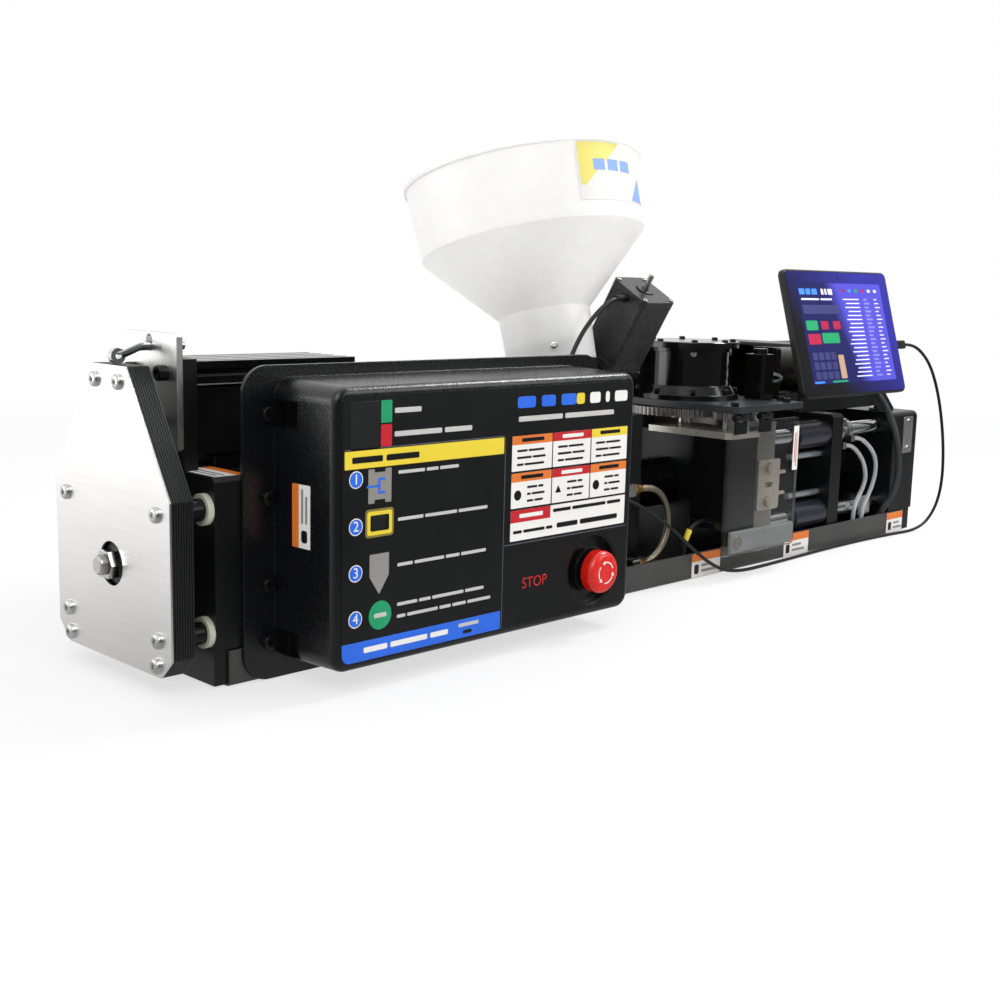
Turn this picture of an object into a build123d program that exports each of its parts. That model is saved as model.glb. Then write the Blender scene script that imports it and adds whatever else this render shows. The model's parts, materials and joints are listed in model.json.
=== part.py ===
from build123d import *
import os
from math import acos, atan2, cos, degrees, pi, radians, sin, sqrt, tan

# Desktop injection molding machine, in millimetres.
# X runs from the belt end to the screen end, Y from the control side to the back, Z up from the table.

# Clearances shared by all pieces
overrun = 1
fit = 0.05
loose = 0.6
rest_gap = 0.3

# Base tray, one folded sheet
tray_left = -566
tray_short = 22
tray_width = 183
tray_gauge = 2.5
tray_lip = 33
tray_bend = 5
ledge_gap = 2

# Injection line: height of its axis, and the four tie rods round it
line_height = 104.6
rod_half_y = 77.5
rod_half_z = 54.5
rod_radius = 10
rod_reach = 18.4
washer_radius = 14
washer_width = 6

# Thrust block and barrel plate
thrust_overhang = 14
thrust_depth = 40
thrust_top = 187.6
block_chamfer = 4
bearing_radius = 26
bearing_width = 15
barrel_plate_reach = 300
barrel_plate_depth = 25
barrel_plate_top = 176
barrel_seat = 15

# Laminated belt housing and end cover
lamination_count = 9
lamination_pitch = 2.4
lamination_gap = 0.1
lamination_groove = 0.8
lamination_step = 0.9
back_laminations = 2
stack_half_width = 98
stack_bottom = 17.6
stack_shoulder = 171.2
stack_top = 280.1
stack_top_half = 31
stack_corner = 18
cover_gauge = 2
cover_hole_radius = 20

# Ball screw, pulleys and belt
screw_radius = 12.5
screw_gap = 1.5
screw_length = 165
journal_radius = 10
thread_radius = 8
thread_proud = 14
thread_chamfer = 1
nut_side = 24
nut_width = 11.5
pulley_width = 13
pulley_gap = 1.3
pulley_flange = 1
flange_rise = 2
screw_pulley_radius = 44
motor_pulley_radius = 17
belt_gauge = 3
belt_play = 0.5
belt_room = 4.5

# Injection motor, and what the three square motors share
motor_height = 229.6
motor_length = 110
motor_side = 66
feed_motor_side = 57
valve_motor_side = 62
motor_corner = 5
motor_cap = 9
motor_waist = 1.2
motor_shaft_radius = 5
motor_shaft_grip = 26
shaft_hole_gap = 2

# Upright plate, bracket plate, bent chrome rod and top rail
upright_gauge = 14
upright_width = 89
upright_top = 286
bracket_gauge = 6
bracket_bottom = 205
bracket_top = 308.1
bracket_chamfer = 3
rod_eyelet_width = 10
rod_eyelet_height = 15
rod_eyelet_drop = 9.5
bent_radius = 4.4
bent_tail = 28
bent_run = 10
bent_bend = 14
bent_eye_radius = 7
bent_eye_hole = 2.6
bent_eye_gauge = 6
bent_eye_inset = 8
rail_width = 80
rail_height = 20
rail_drop = 2.4
rail_length = 180
rail_pitch = 20
rail_bore = 2.1
slot_mouth = 6
slot_lip = 2
slot_width = 11
slot_floor = 5
slot_shoulder = 3
slot_depth = 6

# Ram carriage, ball nut and plunger
carriage_gap = 15
carriage_depth = 40
carriage_wall = 2.5
carriage_rise = 4
carriage_chamfer = 3
sleeve_radius = 25
sleeve_length = 115
sleeve_end = 15
nut_radius = 19
nut_flange_radius = 30
nut_flange = 8
plunger_radius = 10
plunger_length = 380

# Barrel and heater bands
barrel_radius = 21
barrel_nose = 12
orifice_radius = 5
orifice_length = 30
band_count = 3
band_clear = 6
band_width = 29
band_pitch = 36
band_gauge = 6
band_lug_width = 14
band_lug_height = 9
band_slit = 2

# Feed block with the hopper throat and the auger tube
feed_left = -101
feed_length = 151
feed_width = 100
feed_top = 205
throat_inset = 34.7
throat_radius = 26
throat_bore = 18
throat_y = -6.7
throat_rise = 57.7
throat_seat = 9.2646
collar_radius = 54
collar_height = 6
spigot_wall = 4
spigot_height = 25
auger_inset = 30
auger_cross = 234
auger_tilt = 30
auger_tube_radius = 26
auger_sink = 51
auger_rise = 40
auger_flange = 8
auger_bore = 13
auger_floor = 6
chute_radius = 9
passage_radius = 12
passage_y = 5
passage_height = 190
feed_motor_length = 97
feed_shaft_radius = 3.2
feed_shaft_proud = 20
auger_core = 5
auger_gap = 0.5
flight_pitch = 18
flight_gauge = 2.5

# Hopper
hopper_tilt = 15
hopper_foot_radius = 51.3
hopper_neck_radius = 53.3
hopper_shoulder_radius = 130.2
hopper_rim_radius = 135.5
hopper_bead = 3
hopper_bead_height = 5
hopper_neck = 61.6
hopper_cone = 79.3
hopper_band = 85.7
hopper_wall = 3

# Control housing, its flange, bolt pockets and the recess of the stop button
box_left = -521
box_width = 401
box_bottom = 17.6
box_height = 254
box_front = -177.5
box_wall = 4
box_corner = 18
box_edge = 7
box_draft = 2
flange_gauge = 4
flange_side = 33
flange_above = 11
flange_below = 16.6
flange_corner = 26
pocket_length = 32
pocket_height = 24
pocket_depth = 15
pocket_from_top = 31
pocket_from_bottom = 18
recess_from_right = 64
recess_rise = 50.4
recess_radius = 36
recess_depth = 9

# Stop button: fixed collar, sliding stem and mushroom head
stop_collar_radius = 24
stop_collar_height = 8
stop_stem_radius = 11
stop_stem_length = 36
stop_lift = 5.5
stop_head_radius = 22
stop_head_height = 15
stop_head_edge = 7
stop_pin_radius = 5
stop_pin_length = 9

# Nozzle block, motor plate and valve drive
nozzle_left = 159
nozzle_length = 85
nozzle_width = 90
nozzle_top = 174.6
nozzle_chamfer = 2
nozzle_tip_radius = 11
nozzle_tip = 16
valve_inset = 40
valve_radius = 10
valve_foot = 78
plate_gauge = 8
motor_plate_overhang = 25
motor_plate_width = 70
motor_plate_front = 117.5
motor_plate_back = 7.5
motor_plate_corner = 6
motor_plate_notch = 16
valve_motor_length = 114
valve_shaft_radius = 4
valve_shaft_grip = 34
pinion_offset = 32
gear_module = 2
gear_teeth = 78
pinion_teeth = 16
gear_thickness = 10
gear_rise = 13.5
gear_pressure = 20
gear_backlash = 0.3
gear_root_share = 1.25
gear_hub_radius = 24
gear_hub = 6
gear_hole_radius = 15
gear_hole_ring = 49
gear_hole_count = 6
pinion_hole_gap = 6

# Top plate, its posts, the bearing drum and the position sensor
top_plate_overhang = 30
top_plate_width = 150
top_plate_front = 130.5
top_plate_back = 69.5
top_plate_corner = 5
top_plate_gap = 1.5
top_plate_hole = 14
post_radius = 6
post_inset = 7
post_half = 60
front_block_left = 13
front_block_width = 28
front_block_depth = 9
drum_disc_radius = 68
drum_disc = 6.4
drum_skirt_radius = 64
drum_skirt_top_radius = 58
drum_skirt = 11
drum_radius = 54
drum_body = 48
drum_lip_radius = 57
drum_lip = 5
drum_cap_radius = 66
drum_cap = 8
drum_cap_edge = 1
sensor_length = 26
sensor_width = 30
sensor_height = 58
sensor_inset_x = 3
sensor_front = 84
sensor_chamfer = 3
sensor_nose_radius = 9
sensor_nose = 7

# Fixed platen, side clamps and tie bars
platen_depth = 40
platen_half_width = 85
platen_top = 186
bar_half_y = 66.5
bar_half_z = 56
bar_radius = 11
bar_inset = 10
bar_grip = 14
bar_play = 0.08
clamp_gauge = 6
clamp_back = 3
clamp_overhang = 6
clamp_height = 66
clamp_corner = 4
clamp_slot_length = 18
clamp_slot_width = 7
clamp_pin_radius = 2.5
clamp_pin_length = 15
clamp_pin_half = 14

# Moving platen with its sleeves and guide pins
daylight = 141
moving_depth = 27
moving_half_width = 86
moving_bottom = 12
moving_top = 187
moving_chamfer = 4
sleeve_bar_radius = 19
sleeve_bar_length = 76
guide_half_z = 27
guide_radius = 4.5
guide_length = 78

# Clamp cylinder, clamp ram and clamp housing
cylinder_gap = 48
cylinder_length = 86
cylinder_radius = 32
cylinder_cap_side = 68
cylinder_cap = 16
cylinder_cap_corner = 6
housing_length = 68
housing_top = 181.6
housing_round = 9
ram_radius = 10
ram_length = 188
ram_nut_side = 30
ram_nut_width = 10
ram_bore_extra = 5

# Upper cylinder, held against the rear panel by its square caps
upper_reach = 155
upper_length = 144
upper_radius = 35
upper_height = 237
upper_cap_side = 74
upper_cap = 14

# Tube fittings on the upper front tie bar, a stop block on the lower one, and the two coolant tubes
stop_block_gap = 68
stop_block_length = 32
stop_block_width = 26
stop_block_height = 28
fitting_gap = 1.5
fitting_width = 9
fitting_pitch = 22
fitting_radius = 17
ear_drops = (19, 10)
ear_reach = 4
ear_height = 9
tube_radius = 3
tube_lane = 83
tube_bows = (68, 73)
tube_shares = (
    (
        (0, 0), (0.235, 0), (0.59, 0.086), (0.88, 0.223), (1, 0.374),
        (0.85, 0.503), (0.62, 0.618), (0.545, 0.762), (0.545, 1),
    ),
    (
        (0, 0), (0.247, 0), (0.63, 0.088), (0.904, 0.196), (1, 0.324),
        (0.93, 0.473), (0.71, 0.621), (0.52, 0.756), (0.52, 1),
    ),
)

# Hose at the feed block with its two fittings, loom of the upper cylinder, leads of motors and sensor
hose_radius = 4
hose_lane = 77
hose_height = 121
hose_inset = 50
hose_fitting = 14
hose_foot_inset = 36
hose_foot_height = 30
loom_radius = 4.5
feed_lead_radius = 2.6
feed_lead_inset = 11
sensor_lead_radius = 2
sensor_lead_rise = 31.4
sensor_lead_y = 30
valve_lead_radius = 2.5
valve_lead_rise = 9.4
valve_lead_lane = 84

# Rear panel
panel_left = 100
panel_top = 278.3
panel_lift = 3
panel_gauge = 2.5
panel_fold = 22.5

# Clear guard door, hung on the front edge of the top plate
guard_overhang = 7
guard_width = 154
guard_gauge = 4.5
guard_top = 196
guard_bottom = 31
guard_corner = 4
guard_bar_inset = 8
guard_bar_rise = 4
guard_bar_height = 27
guard_bar_gauge = 5
guard_bar_edge = 2
hinge_drop = 5.6
hinge_set = 4.5
hinge_pin_radius = 2.5
hinge_knuckle_radius = 4.4
hinge_knuckle = 10
hinge_ear = 7
hinge_play = 0.4
hinge_leaf = 8
hinge_leaf_gauge = 2
strap_gauge = 2
strap_length = 20
hinge_shares = (0.14, 0.48)

# Tablet, its folded bracket and the plug in its right edge
tablet_gap = 5
tablet_y = -100
tablet_height = 299.6
tablet_tilt = 16
tablet_width = 262
tablet_tall = 172
tablet_gauge = 10
tablet_corner = 9
tablet_edge = 2
holder_width = 150
holder_tall = 110
holder_corner = 8
bracket_sheet = 4
arm_width = 60
gusset_run = 50
gusset_rise = 40
plug_drop = 18
plug_length = 24
plug_width = 12
plug_gauge = 7
plug_edge = 2

# Tablet cable
cord_radius = 2.2
route_share = 0.45

# Places worked out from the sizes above
tray_inner = tray_width / 2 - tray_gauge
block_narrow = tray_inner - loose
ledge = tray_lip + ledge_gap
thrust_left = tray_left - thrust_overhang
thrust_right = thrust_left + thrust_depth
stack_right = thrust_left - washer_width - rod_reach
stack_left = stack_right - lamination_count * lamination_pitch
cover_left = stack_left - cover_gauge
pulley_right = stack_right - back_laminations * lamination_pitch - pulley_gap
pulley_left = pulley_right - pulley_width
bearing_right = thrust_left + bearing_width
barrel_plate_left = thrust_left + barrel_plate_reach
barrel_plate_right = barrel_plate_left + barrel_plate_depth
upright_right = thrust_left + upright_gauge
bracket_left = thrust_left - bracket_gauge
rail_top = upright_top - rail_drop
carriage_left = thrust_right + carriage_gap
carriage_right = carriage_left + carriage_depth
sleeve_right = carriage_right + sleeve_length
plunger_left = sleeve_right - sleeve_end
flange_rear = -tray_width / 2
flange_front = flange_rear - flange_gauge
box_depth = flange_front - box_front
box_right = box_left + box_width
box_middle = box_left + box_width / 2
box_middle_height = box_bottom + box_height / 2
box_inset = box_wall + box_depth * tan(radians(box_draft))
box_inner_width = box_width - 2 * box_inset
box_inner_height = box_height - 2 * box_inset
pocket_heights = (box_bottom + pocket_from_bottom, box_bottom + box_height - pocket_from_top)
recess_spot = (box_right - recess_from_right, box_bottom + recess_rise)
feed_right = feed_left + feed_length
throat_x = feed_left + throat_inset
auger_x = feed_right - auger_inset
nozzle_right = nozzle_left + nozzle_length
barrel_right = nozzle_left + barrel_nose
valve_x = nozzle_left + valve_inset
motor_plate_left = nozzle_left - motor_plate_overhang
motor_plate_top = nozzle_top + plate_gauge
gear_bottom = motor_plate_top + gear_rise
gear_top = gear_bottom + gear_thickness
gear_distance = gear_module * (gear_teeth + pinion_teeth) / 2
pinion_x = valve_x - pinion_offset
pinion_y = -sqrt(gear_distance ** 2 - pinion_offset ** 2)
mesh_angle = degrees(atan2(pinion_y, pinion_x - valve_x))
top_plate_left = nozzle_left - top_plate_overhang
top_plate_right = top_plate_left + top_plate_width
top_plate_bottom = gear_top + top_plate_gap
top_plate_top = top_plate_bottom + plate_gauge
drum_top = top_plate_top + drum_disc + drum_skirt + drum_body
platen_right = nozzle_right + platen_depth
moving_left = platen_right + daylight
moving_right = moving_left + moving_depth
cylinder_left = moving_right + cylinder_gap
housing_left = cylinder_left + cylinder_length
housing_right = housing_left + housing_length
upper_left = housing_left - upper_reach
upper_right = upper_left + upper_length
panel_front = tray_width / 2
upper_y = panel_front - upper_cap_side / 2
guard_left = top_plate_left - guard_overhang
hinge_y = -top_plate_front + hinge_set
hinge_height = top_plate_bottom - hinge_drop
hinge_places = [guard_left + guard_width * share for share in hinge_shares]
tablet_x = top_plate_right + tablet_gap + tablet_width / 2
tablet_lean = radians(tablet_tilt)
rod_spots = [(y, line_height + z) for y in (-rod_half_y, rod_half_y) for z in (-rod_half_z, rod_half_z)]
bar_spots = [(y, line_height + z) for y in (-bar_half_y, bar_half_y) for z in (-bar_half_z, bar_half_z)]
guide_spots = [(y, line_height + z) for y in (-bar_half_y, bar_half_y) for z in (-guide_half_z, guide_half_z)]
line_spot = (0, line_height)
motor_spot = (0, motor_height)

# Slanted frames: hopper and its throat, auger and its motor, tablet
hopper_way = Vector(0, sin(radians(hopper_tilt)), cos(radians(hopper_tilt)))
throat_height = feed_top + throat_rise
throat_sink = throat_rise / cos(radians(hopper_tilt)) + throat_seat
hopper_foot = Vector(throat_x, throat_y, throat_height)
hopper_plane = Plane(origin=hopper_foot, x_dir=(1, 0, 0), z_dir=hopper_way)
hopper_section = Plane(origin=hopper_foot, x_dir=(1, 0, 0), z_dir=(0, -hopper_way.Z, hopper_way.Y))
auger_way = Vector(0, -sin(radians(auger_tilt)), cos(radians(auger_tilt)))
auger_plane = Plane(origin=(auger_x, 0, auger_cross), x_dir=(1, 0, 0), z_dir=auger_way)
tablet_plane = Plane(
    origin=(tablet_x, tablet_y, tablet_height),
    x_dir=(1, 0, 0),
    z_dir=(0, -cos(tablet_lean), sin(tablet_lean)),
)


# Sketch planes: across the machine, facing its front, and level
def across(x):
    return Plane.YZ.offset(x)


def facing(y):
    return Plane.XZ.offset(-y)


def level(z):
    return Plane.XY.offset(z)


# Outline of a block that stands in the tray and widens above its lips
def block_outline(top):
    with BuildSketch() as outline:
        with Locations((0, (tray_gauge + top) / 2)):
            Rectangle(2 * block_narrow, top - tray_gauge)
        with Locations((0, (ledge + top) / 2)):
            Rectangle(tray_width, top - ledge)
        chamfer(outline.vertices().group_by(Axis.Y)[-1], block_chamfer)
    return outline.sketch


# Outline of the end stack, drawn in by an inset
def stack_outline(inset):
    with BuildSketch() as outline:
        with BuildLine():
            Polyline(
                (0, stack_bottom),
                (stack_half_width, stack_bottom),
                (stack_half_width, stack_shoulder),
                (stack_top_half, stack_top),
                (0, stack_top),
            )
            mirror(about=Plane.YZ)
        make_face()
        chamfer(outline.vertices().group_by(Axis.Y)[0], stack_corner)
        if inset > 0:
            offset(amount=-inset, kind=Kind.INTERSECTION)
    return outline.sketch


# Shape that the belt takes round its two pulleys, grown by an amount
def belt_loop(grow):
    with BuildSketch() as loop:
        with Locations(line_spot):
            Circle(screw_pulley_radius + grow)
        with Locations(motor_spot):
            Circle(motor_pulley_radius + grow)
        make_hull()
    return loop.sketch


# T-shaped slot of the rail, its mouth on the origin and its depth downwards
def rail_slot():
    with BuildSketch() as slot:
        with BuildLine():
            Polyline(
                (0, 0),
                (slot_mouth / 2, 0),
                (slot_mouth / 2, -slot_lip),
                (slot_width / 2, -slot_lip),
                (slot_width / 2, -slot_shoulder),
                (slot_floor / 2, -slot_depth),
                (0, -slot_depth),
            )
            mirror(about=Plane.YZ)
        make_face()
    return slot.sketch


# Spur gear outline with involute flanks, one tooth centred on the given angle
def gear_outline(teeth, angle):
    pitch_radius = gear_module * teeth / 2
    base_radius = pitch_radius * cos(radians(gear_pressure))
    tip_radius = pitch_radius + gear_module
    root_radius = pitch_radius - gear_root_share * gear_module
    flank_start = max(base_radius, root_radius)
    half_tooth = (pi * gear_module / 2 - gear_backlash) / (2 * pitch_radius)

    def roll_off(pressure):
        return tan(pressure) - pressure

    def half_angle(radius):
        pressure = acos(min(base_radius / radius, 1))
        return half_tooth + roll_off(radians(gear_pressure)) - roll_off(pressure)

    radii = [flank_start, (flank_start + tip_radius) / 2, tip_radius]
    if root_radius < flank_start:
        radii.insert(0, root_radius)
    points = []
    for tooth in range(teeth):
        middle = radians(angle) + 2 * pi * tooth / teeth
        for radius in radii:
            turn = middle - half_angle(radius)
            points.append((radius * cos(turn), radius * sin(turn)))
        for radius in reversed(radii):
            turn = middle + half_angle(radius)
            points.append((radius * cos(turn), radius * sin(turn)))
    with BuildSketch() as outline:
        with BuildLine():
            Polyline(*points, close=True)
        make_face()
    return outline.sketch


# Square motor with a waist between its end caps, its flange on the given plane
def square_motor(mount, side, length, bore):
    with BuildPart() as motor:
        with BuildSketch(mount):
            outline = Rectangle(side, side)
            chamfer(outline.vertices(), motor_corner)
            Circle(bore, mode=Mode.SUBTRACT)
        extrude(amount=length)
        with BuildSketch(mount.offset(motor_cap)):
            Rectangle(side + overrun, side + overrun)
            Rectangle(side - 2 * motor_waist, side - 2 * motor_waist, mode=Mode.SUBTRACT)
        extrude(amount=length - 2 * motor_cap, mode=Mode.SUBTRACT)
    return motor.part


# Bend radius at each corner of a route, as large as its two runs allow
def bend_radii(points):
    places = [Vector(*point) for point in points]
    radii = []
    for before, corner, after in zip(places, places[1:], places[2:]):
        come = corner - before
        go = after - corner
        turn = radians(come.get_angle(go))
        radii.append(route_share * min(come.length, go.length) / tan(turn / 2))
    return radii


# Round tube along a route
def tube_along(points, radius):
    with BuildPart() as tube:
        with BuildLine() as path:
            FilletPolyline(*points, radius=bend_radii(points))
        with BuildSketch(Plane(origin=path.line @ 0, z_dir=path.line % 0)):
            Circle(radius)
        sweep()
    return tube.part


# Base tray, open at both ends
with BuildPart() as base_tray:
    with BuildSketch(across(tray_left)) as tray_section:
        with Locations((0, tray_lip / 2)):
            Rectangle(tray_width, tray_lip)
        fillet(tray_section.vertices().group_by(Axis.Y)[0], tray_bend)
        with Locations((0, tray_gauge + tray_lip / 2)):
            Rectangle(2 * tray_inner, tray_lip, mode=Mode.SUBTRACT)
    extrude(amount=housing_right - tray_short - tray_left)

# Laminated belt housing: ring plates round the belt with a groove at each joint, closed at the back by
# plain plates
with BuildPart() as belt_housing:
    lamination_land = lamination_pitch - lamination_gap - lamination_groove
    for index in range(lamination_count):
        plate_left = stack_left + index * lamination_pitch
        groove_left = plate_left + lamination_land
        layers = ((plate_left, 0, lamination_land), (groove_left, lamination_step, lamination_groove))
        for layer_left, inset, gauge in layers:
            with BuildSketch(across(layer_left)):
                add(stack_outline(inset))
                if index < lamination_count - back_laminations:
                    add(belt_loop(belt_gauge + belt_room), mode=Mode.SUBTRACT)
                else:
                    with Locations(line_spot):
                        Circle(screw_radius + screw_gap, mode=Mode.SUBTRACT)
                    with Locations(motor_spot):
                        Circle(motor_shaft_radius + shaft_hole_gap, mode=Mode.SUBTRACT)
            extrude(amount=gauge)

# Stainless end cover
with BuildPart() as end_cover:
    with BuildSketch(across(cover_left)):
        add(stack_outline(0))
        with Locations(line_spot):
            Circle(cover_hole_radius, mode=Mode.SUBTRACT)
    extrude(amount=cover_gauge - lamination_gap)

# Thrust block with its bearing pocket on the belt side
with BuildPart() as thrust_block:
    with BuildSketch(across(thrust_left)):
        add(block_outline(thrust_top))
        with Locations(*rod_spots):
            Circle(rod_radius + fit, mode=Mode.SUBTRACT)
        with Locations(line_spot):
            Circle(screw_radius + screw_gap, mode=Mode.SUBTRACT)
    extrude(amount=thrust_depth)
    with BuildSketch(across(thrust_left)):
        with Locations(line_spot):
            Circle(bearing_radius + fit)
    extrude(amount=bearing_width, mode=Mode.SUBTRACT)

with BuildPart() as screw_bearing:
    with BuildSketch(across(thrust_left)):
        with Locations(line_spot):
            Circle(bearing_radius)
            Circle(journal_radius + fit, mode=Mode.SUBTRACT)
    extrude(amount=bearing_width)

# Tie rods from the belt housing to the barrel plate, and the nylon washer on each
with BuildPart() as drive_tie_rods:
    with BuildSketch(across(stack_right - lamination_gap)):
        with Locations(*rod_spots):
            Circle(rod_radius)
    extrude(amount=barrel_plate_right - stack_right + lamination_gap)

with BuildPart() as nylon_washers:
    with BuildSketch(across(thrust_left - washer_width)):
        with Locations(*rod_spots):
            Circle(washer_radius)
            Circle(rod_radius + fit, mode=Mode.SUBTRACT)
    extrude(amount=washer_width)

# Ball screw: threaded end outside the cover, journal through pulley and bearing, screw inside the sleeve
with BuildPart() as ball_screw:
    screw_steps = (
        (cover_left - thread_proud, pulley_left, thread_radius),
        (pulley_left, bearing_right + rest_gap, journal_radius),
        (bearing_right + rest_gap, bearing_right + screw_length, screw_radius),
    )
    for start, end, radius in screw_steps:
        with BuildSketch(across(start)):
            with Locations(line_spot):
                Circle(radius)
        extrude(amount=end - start)
    chamfer(ball_screw.faces().sort_by(Axis.X)[0].edges(), thread_chamfer)

with BuildPart() as lock_nut:
    with BuildSketch(across(pulley_left - nut_width)):
        with Locations(line_spot):
            RegularPolygon(nut_side / 2, 6, major_radius=False)
            Circle(thread_radius + fit, mode=Mode.SUBTRACT)
    extrude(amount=nut_width)

with BuildPart() as screw_pulley:
    with BuildSketch(across(pulley_left)):
        with Locations(line_spot):
            Circle(screw_pulley_radius + flange_rise)
            Circle(journal_radius + fit, mode=Mode.SUBTRACT)
    extrude(amount=pulley_width)
    with BuildSketch(across(pulley_left + pulley_flange)):
        with Locations(line_spot):
            Circle(screw_pulley_radius + flange_rise + overrun)
            Circle(screw_pulley_radius - rest_gap, mode=Mode.SUBTRACT)
    extrude(amount=pulley_width - 2 * pulley_flange, mode=Mode.SUBTRACT)

with BuildPart() as drive_belt:
    with BuildSketch(across(pulley_left + pulley_flange + belt_play)):
        add(belt_loop(belt_gauge))
        add(belt_loop(0), mode=Mode.SUBTRACT)
    extrude(amount=pulley_width - 2 * (pulley_flange + belt_play))

# Motor pulley with its shaft, through the two plates into the motor
with BuildPart() as motor_pulley:
    with BuildSketch(across(pulley_left)):
        with Locations(motor_spot):
            Circle(motor_pulley_radius + flange_rise)
    extrude(amount=pulley_width)
    with BuildSketch(across(pulley_left + pulley_flange)):
        with Locations(motor_spot):
            Circle(motor_pulley_radius + flange_rise + overrun)
            Circle(motor_pulley_radius - rest_gap, mode=Mode.SUBTRACT)
    extrude(amount=pulley_width - 2 * pulley_flange, mode=Mode.SUBTRACT)
    with BuildSketch(across(pulley_right)):
        with Locations(motor_spot):
            Circle(motor_shaft_radius)
    extrude(amount=upright_right + motor_shaft_grip - pulley_right)

with BuildPart() as injection_motor:
    motor_mount = Plane(origin=(upright_right, 0, motor_height), x_dir=(0, 1, 0), z_dir=(1, 0, 0))
    add(square_motor(motor_mount, motor_side, motor_length, motor_shaft_radius + fit))

with BuildPart() as upright_plate:
    with BuildSketch(across(thrust_left)):
        with Locations((0, (thrust_top + upright_top) / 2)):
            Rectangle(upright_width, upright_top - thrust_top)
        with Locations(motor_spot):
            Circle(motor_shaft_radius + shaft_hole_gap, mode=Mode.SUBTRACT)
    extrude(amount=upright_gauge)

with BuildPart() as bracket_plate:
    with BuildSketch(across(bracket_left)) as bracket_outline:
        with Locations((0, (bracket_bottom + bracket_top) / 2)):
            Rectangle(upright_width, bracket_top - bracket_bottom)
        chamfer(bracket_outline.vertices(), bracket_chamfer)
        with Locations(motor_spot):
            Circle(motor_shaft_radius + shaft_hole_gap, mode=Mode.SUBTRACT)
        with Locations((0, bracket_top - rod_eyelet_drop)):
            SlotOverall(rod_eyelet_height, rod_eyelet_width, 90, mode=Mode.SUBTRACT)
    extrude(amount=bracket_gauge)

# Chrome rod bent down from the bracket's eyelet to an eye on top of the belt housing
bent_height = bracket_top - rod_eyelet_drop - rod_eyelet_height / 2 + bent_radius + rest_gap
bent_eye_x = stack_left + bent_eye_inset
bent_eye_height = stack_top + bent_eye_radius + rest_gap
with BuildPart() as chrome_rod:
    with BuildLine() as bent_path:
        FilletPolyline(
            (thrust_left + bent_tail, 0, bent_height),
            (bracket_left - bent_run, 0, bent_height),
            (bent_eye_x, 0, bent_eye_height),
            radius=bent_bend,
        )
    with BuildSketch(Plane(origin=bent_path.line @ 0, z_dir=bent_path.line % 0)):
        Circle(bent_radius)
    sweep()
    with BuildSketch(facing(bent_eye_gauge / 2)):
        with Locations((bent_eye_x, bent_eye_height)):
            Circle(bent_eye_radius)
    extrude(amount=bent_eye_gauge)
    with BuildSketch(facing(bent_radius + overrun)):
        with Locations((bent_eye_x, bent_eye_height)):
            Circle(bent_eye_hole)
    extrude(amount=2 * (bent_radius + overrun), mode=Mode.SUBTRACT)

with BuildPart() as top_rail:
    rail_slots = int(rail_width / rail_pitch)
    with BuildSketch(across(upright_right)):
        with Locations((0, rail_top - rail_height / 2)):
            Rectangle(rail_width, rail_height)
            with GridLocations(rail_pitch, rail_height, rail_slots, 1):
                Circle(rail_bore, mode=Mode.SUBTRACT)
        for height, turn in ((rail_top, 0), (rail_top - rail_height, 180)):
            with Locations(Location((0, height), turn)):
                with GridLocations(rail_pitch, rail_height, rail_slots, 1):
                    add(rail_slot(), mode=Mode.SUBTRACT)
        for side, turn in ((-rail_width / 2, 90), (rail_width / 2, -90)):
            with Locations(Location((side, rail_top - rail_height / 2), turn)):
                add(rail_slot(), mode=Mode.SUBTRACT)
    extrude(amount=rail_length)

# Ram carriage on the tie rods, with the sleeve that pushes the plunger
with BuildPart() as ram_carriage:
    carriage_half_y = rod_half_y + rod_radius + carriage_wall
    carriage_half_z = rod_half_z + rod_radius + carriage_rise
    with BuildSketch(across(carriage_left)):
        with Locations(line_spot):
            plate = Rectangle(2 * carriage_half_y, 2 * carriage_half_z)
            chamfer(plate.vertices(), carriage_chamfer)
    extrude(amount=carriage_depth)
    with BuildSketch(across(carriage_right)):
        with Locations(line_spot):
            Circle(sleeve_radius)
    extrude(amount=sleeve_length)
    with BuildSketch(across(carriage_left)):
        with Locations(*rod_spots):
            Circle(rod_radius + fit)
        with Locations(line_spot):
            Circle(nut_radius + fit)
    extrude(amount=carriage_depth, mode=Mode.SUBTRACT)
    with BuildSketch(across(carriage_right)):
        with Locations(line_spot):
            Circle(screw_radius + screw_gap)
    extrude(amount=sleeve_length - sleeve_end, mode=Mode.SUBTRACT)
    with BuildSketch(across(plunger_left)):
        with Locations(line_spot):
            Circle(plunger_radius + fit)
    extrude(amount=sleeve_end, mode=Mode.SUBTRACT)

with BuildPart() as ball_nut:
    with BuildSketch(across(carriage_left - nut_flange)):
        with Locations(line_spot):
            Circle(nut_flange_radius)
    extrude(amount=nut_flange)
    with BuildSketch(across(carriage_left)):
        with Locations(line_spot):
            Circle(nut_radius)
    extrude(amount=carriage_depth)
    with BuildSketch(across(carriage_left - nut_flange)):
        with Locations(line_spot):
            Circle(screw_radius + fit)
    extrude(amount=nut_flange + carriage_depth, mode=Mode.SUBTRACT)

with BuildPart() as plunger:
    with BuildSketch(across(plunger_left)):
        with Locations(line_spot):
            Circle(plunger_radius)
    extrude(amount=plunger_length)

# Barrel plate on the far ends of the tie rods, with the barrel in it
with BuildPart() as barrel_plate:
    with BuildSketch(across(barrel_plate_left)):
        add(block_outline(barrel_plate_top))
        with Locations(*rod_spots):
            Circle(rod_radius + fit, mode=Mode.SUBTRACT)
        with Locations(line_spot):
            Circle(plunger_radius + loose, mode=Mode.SUBTRACT)
    extrude(amount=barrel_plate_depth)
    with BuildSketch(across(barrel_plate_right - barrel_seat)):
        with Locations(line_spot):
            Circle(barrel_radius + fit)
    extrude(amount=barrel_seat, mode=Mode.SUBTRACT)

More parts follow.
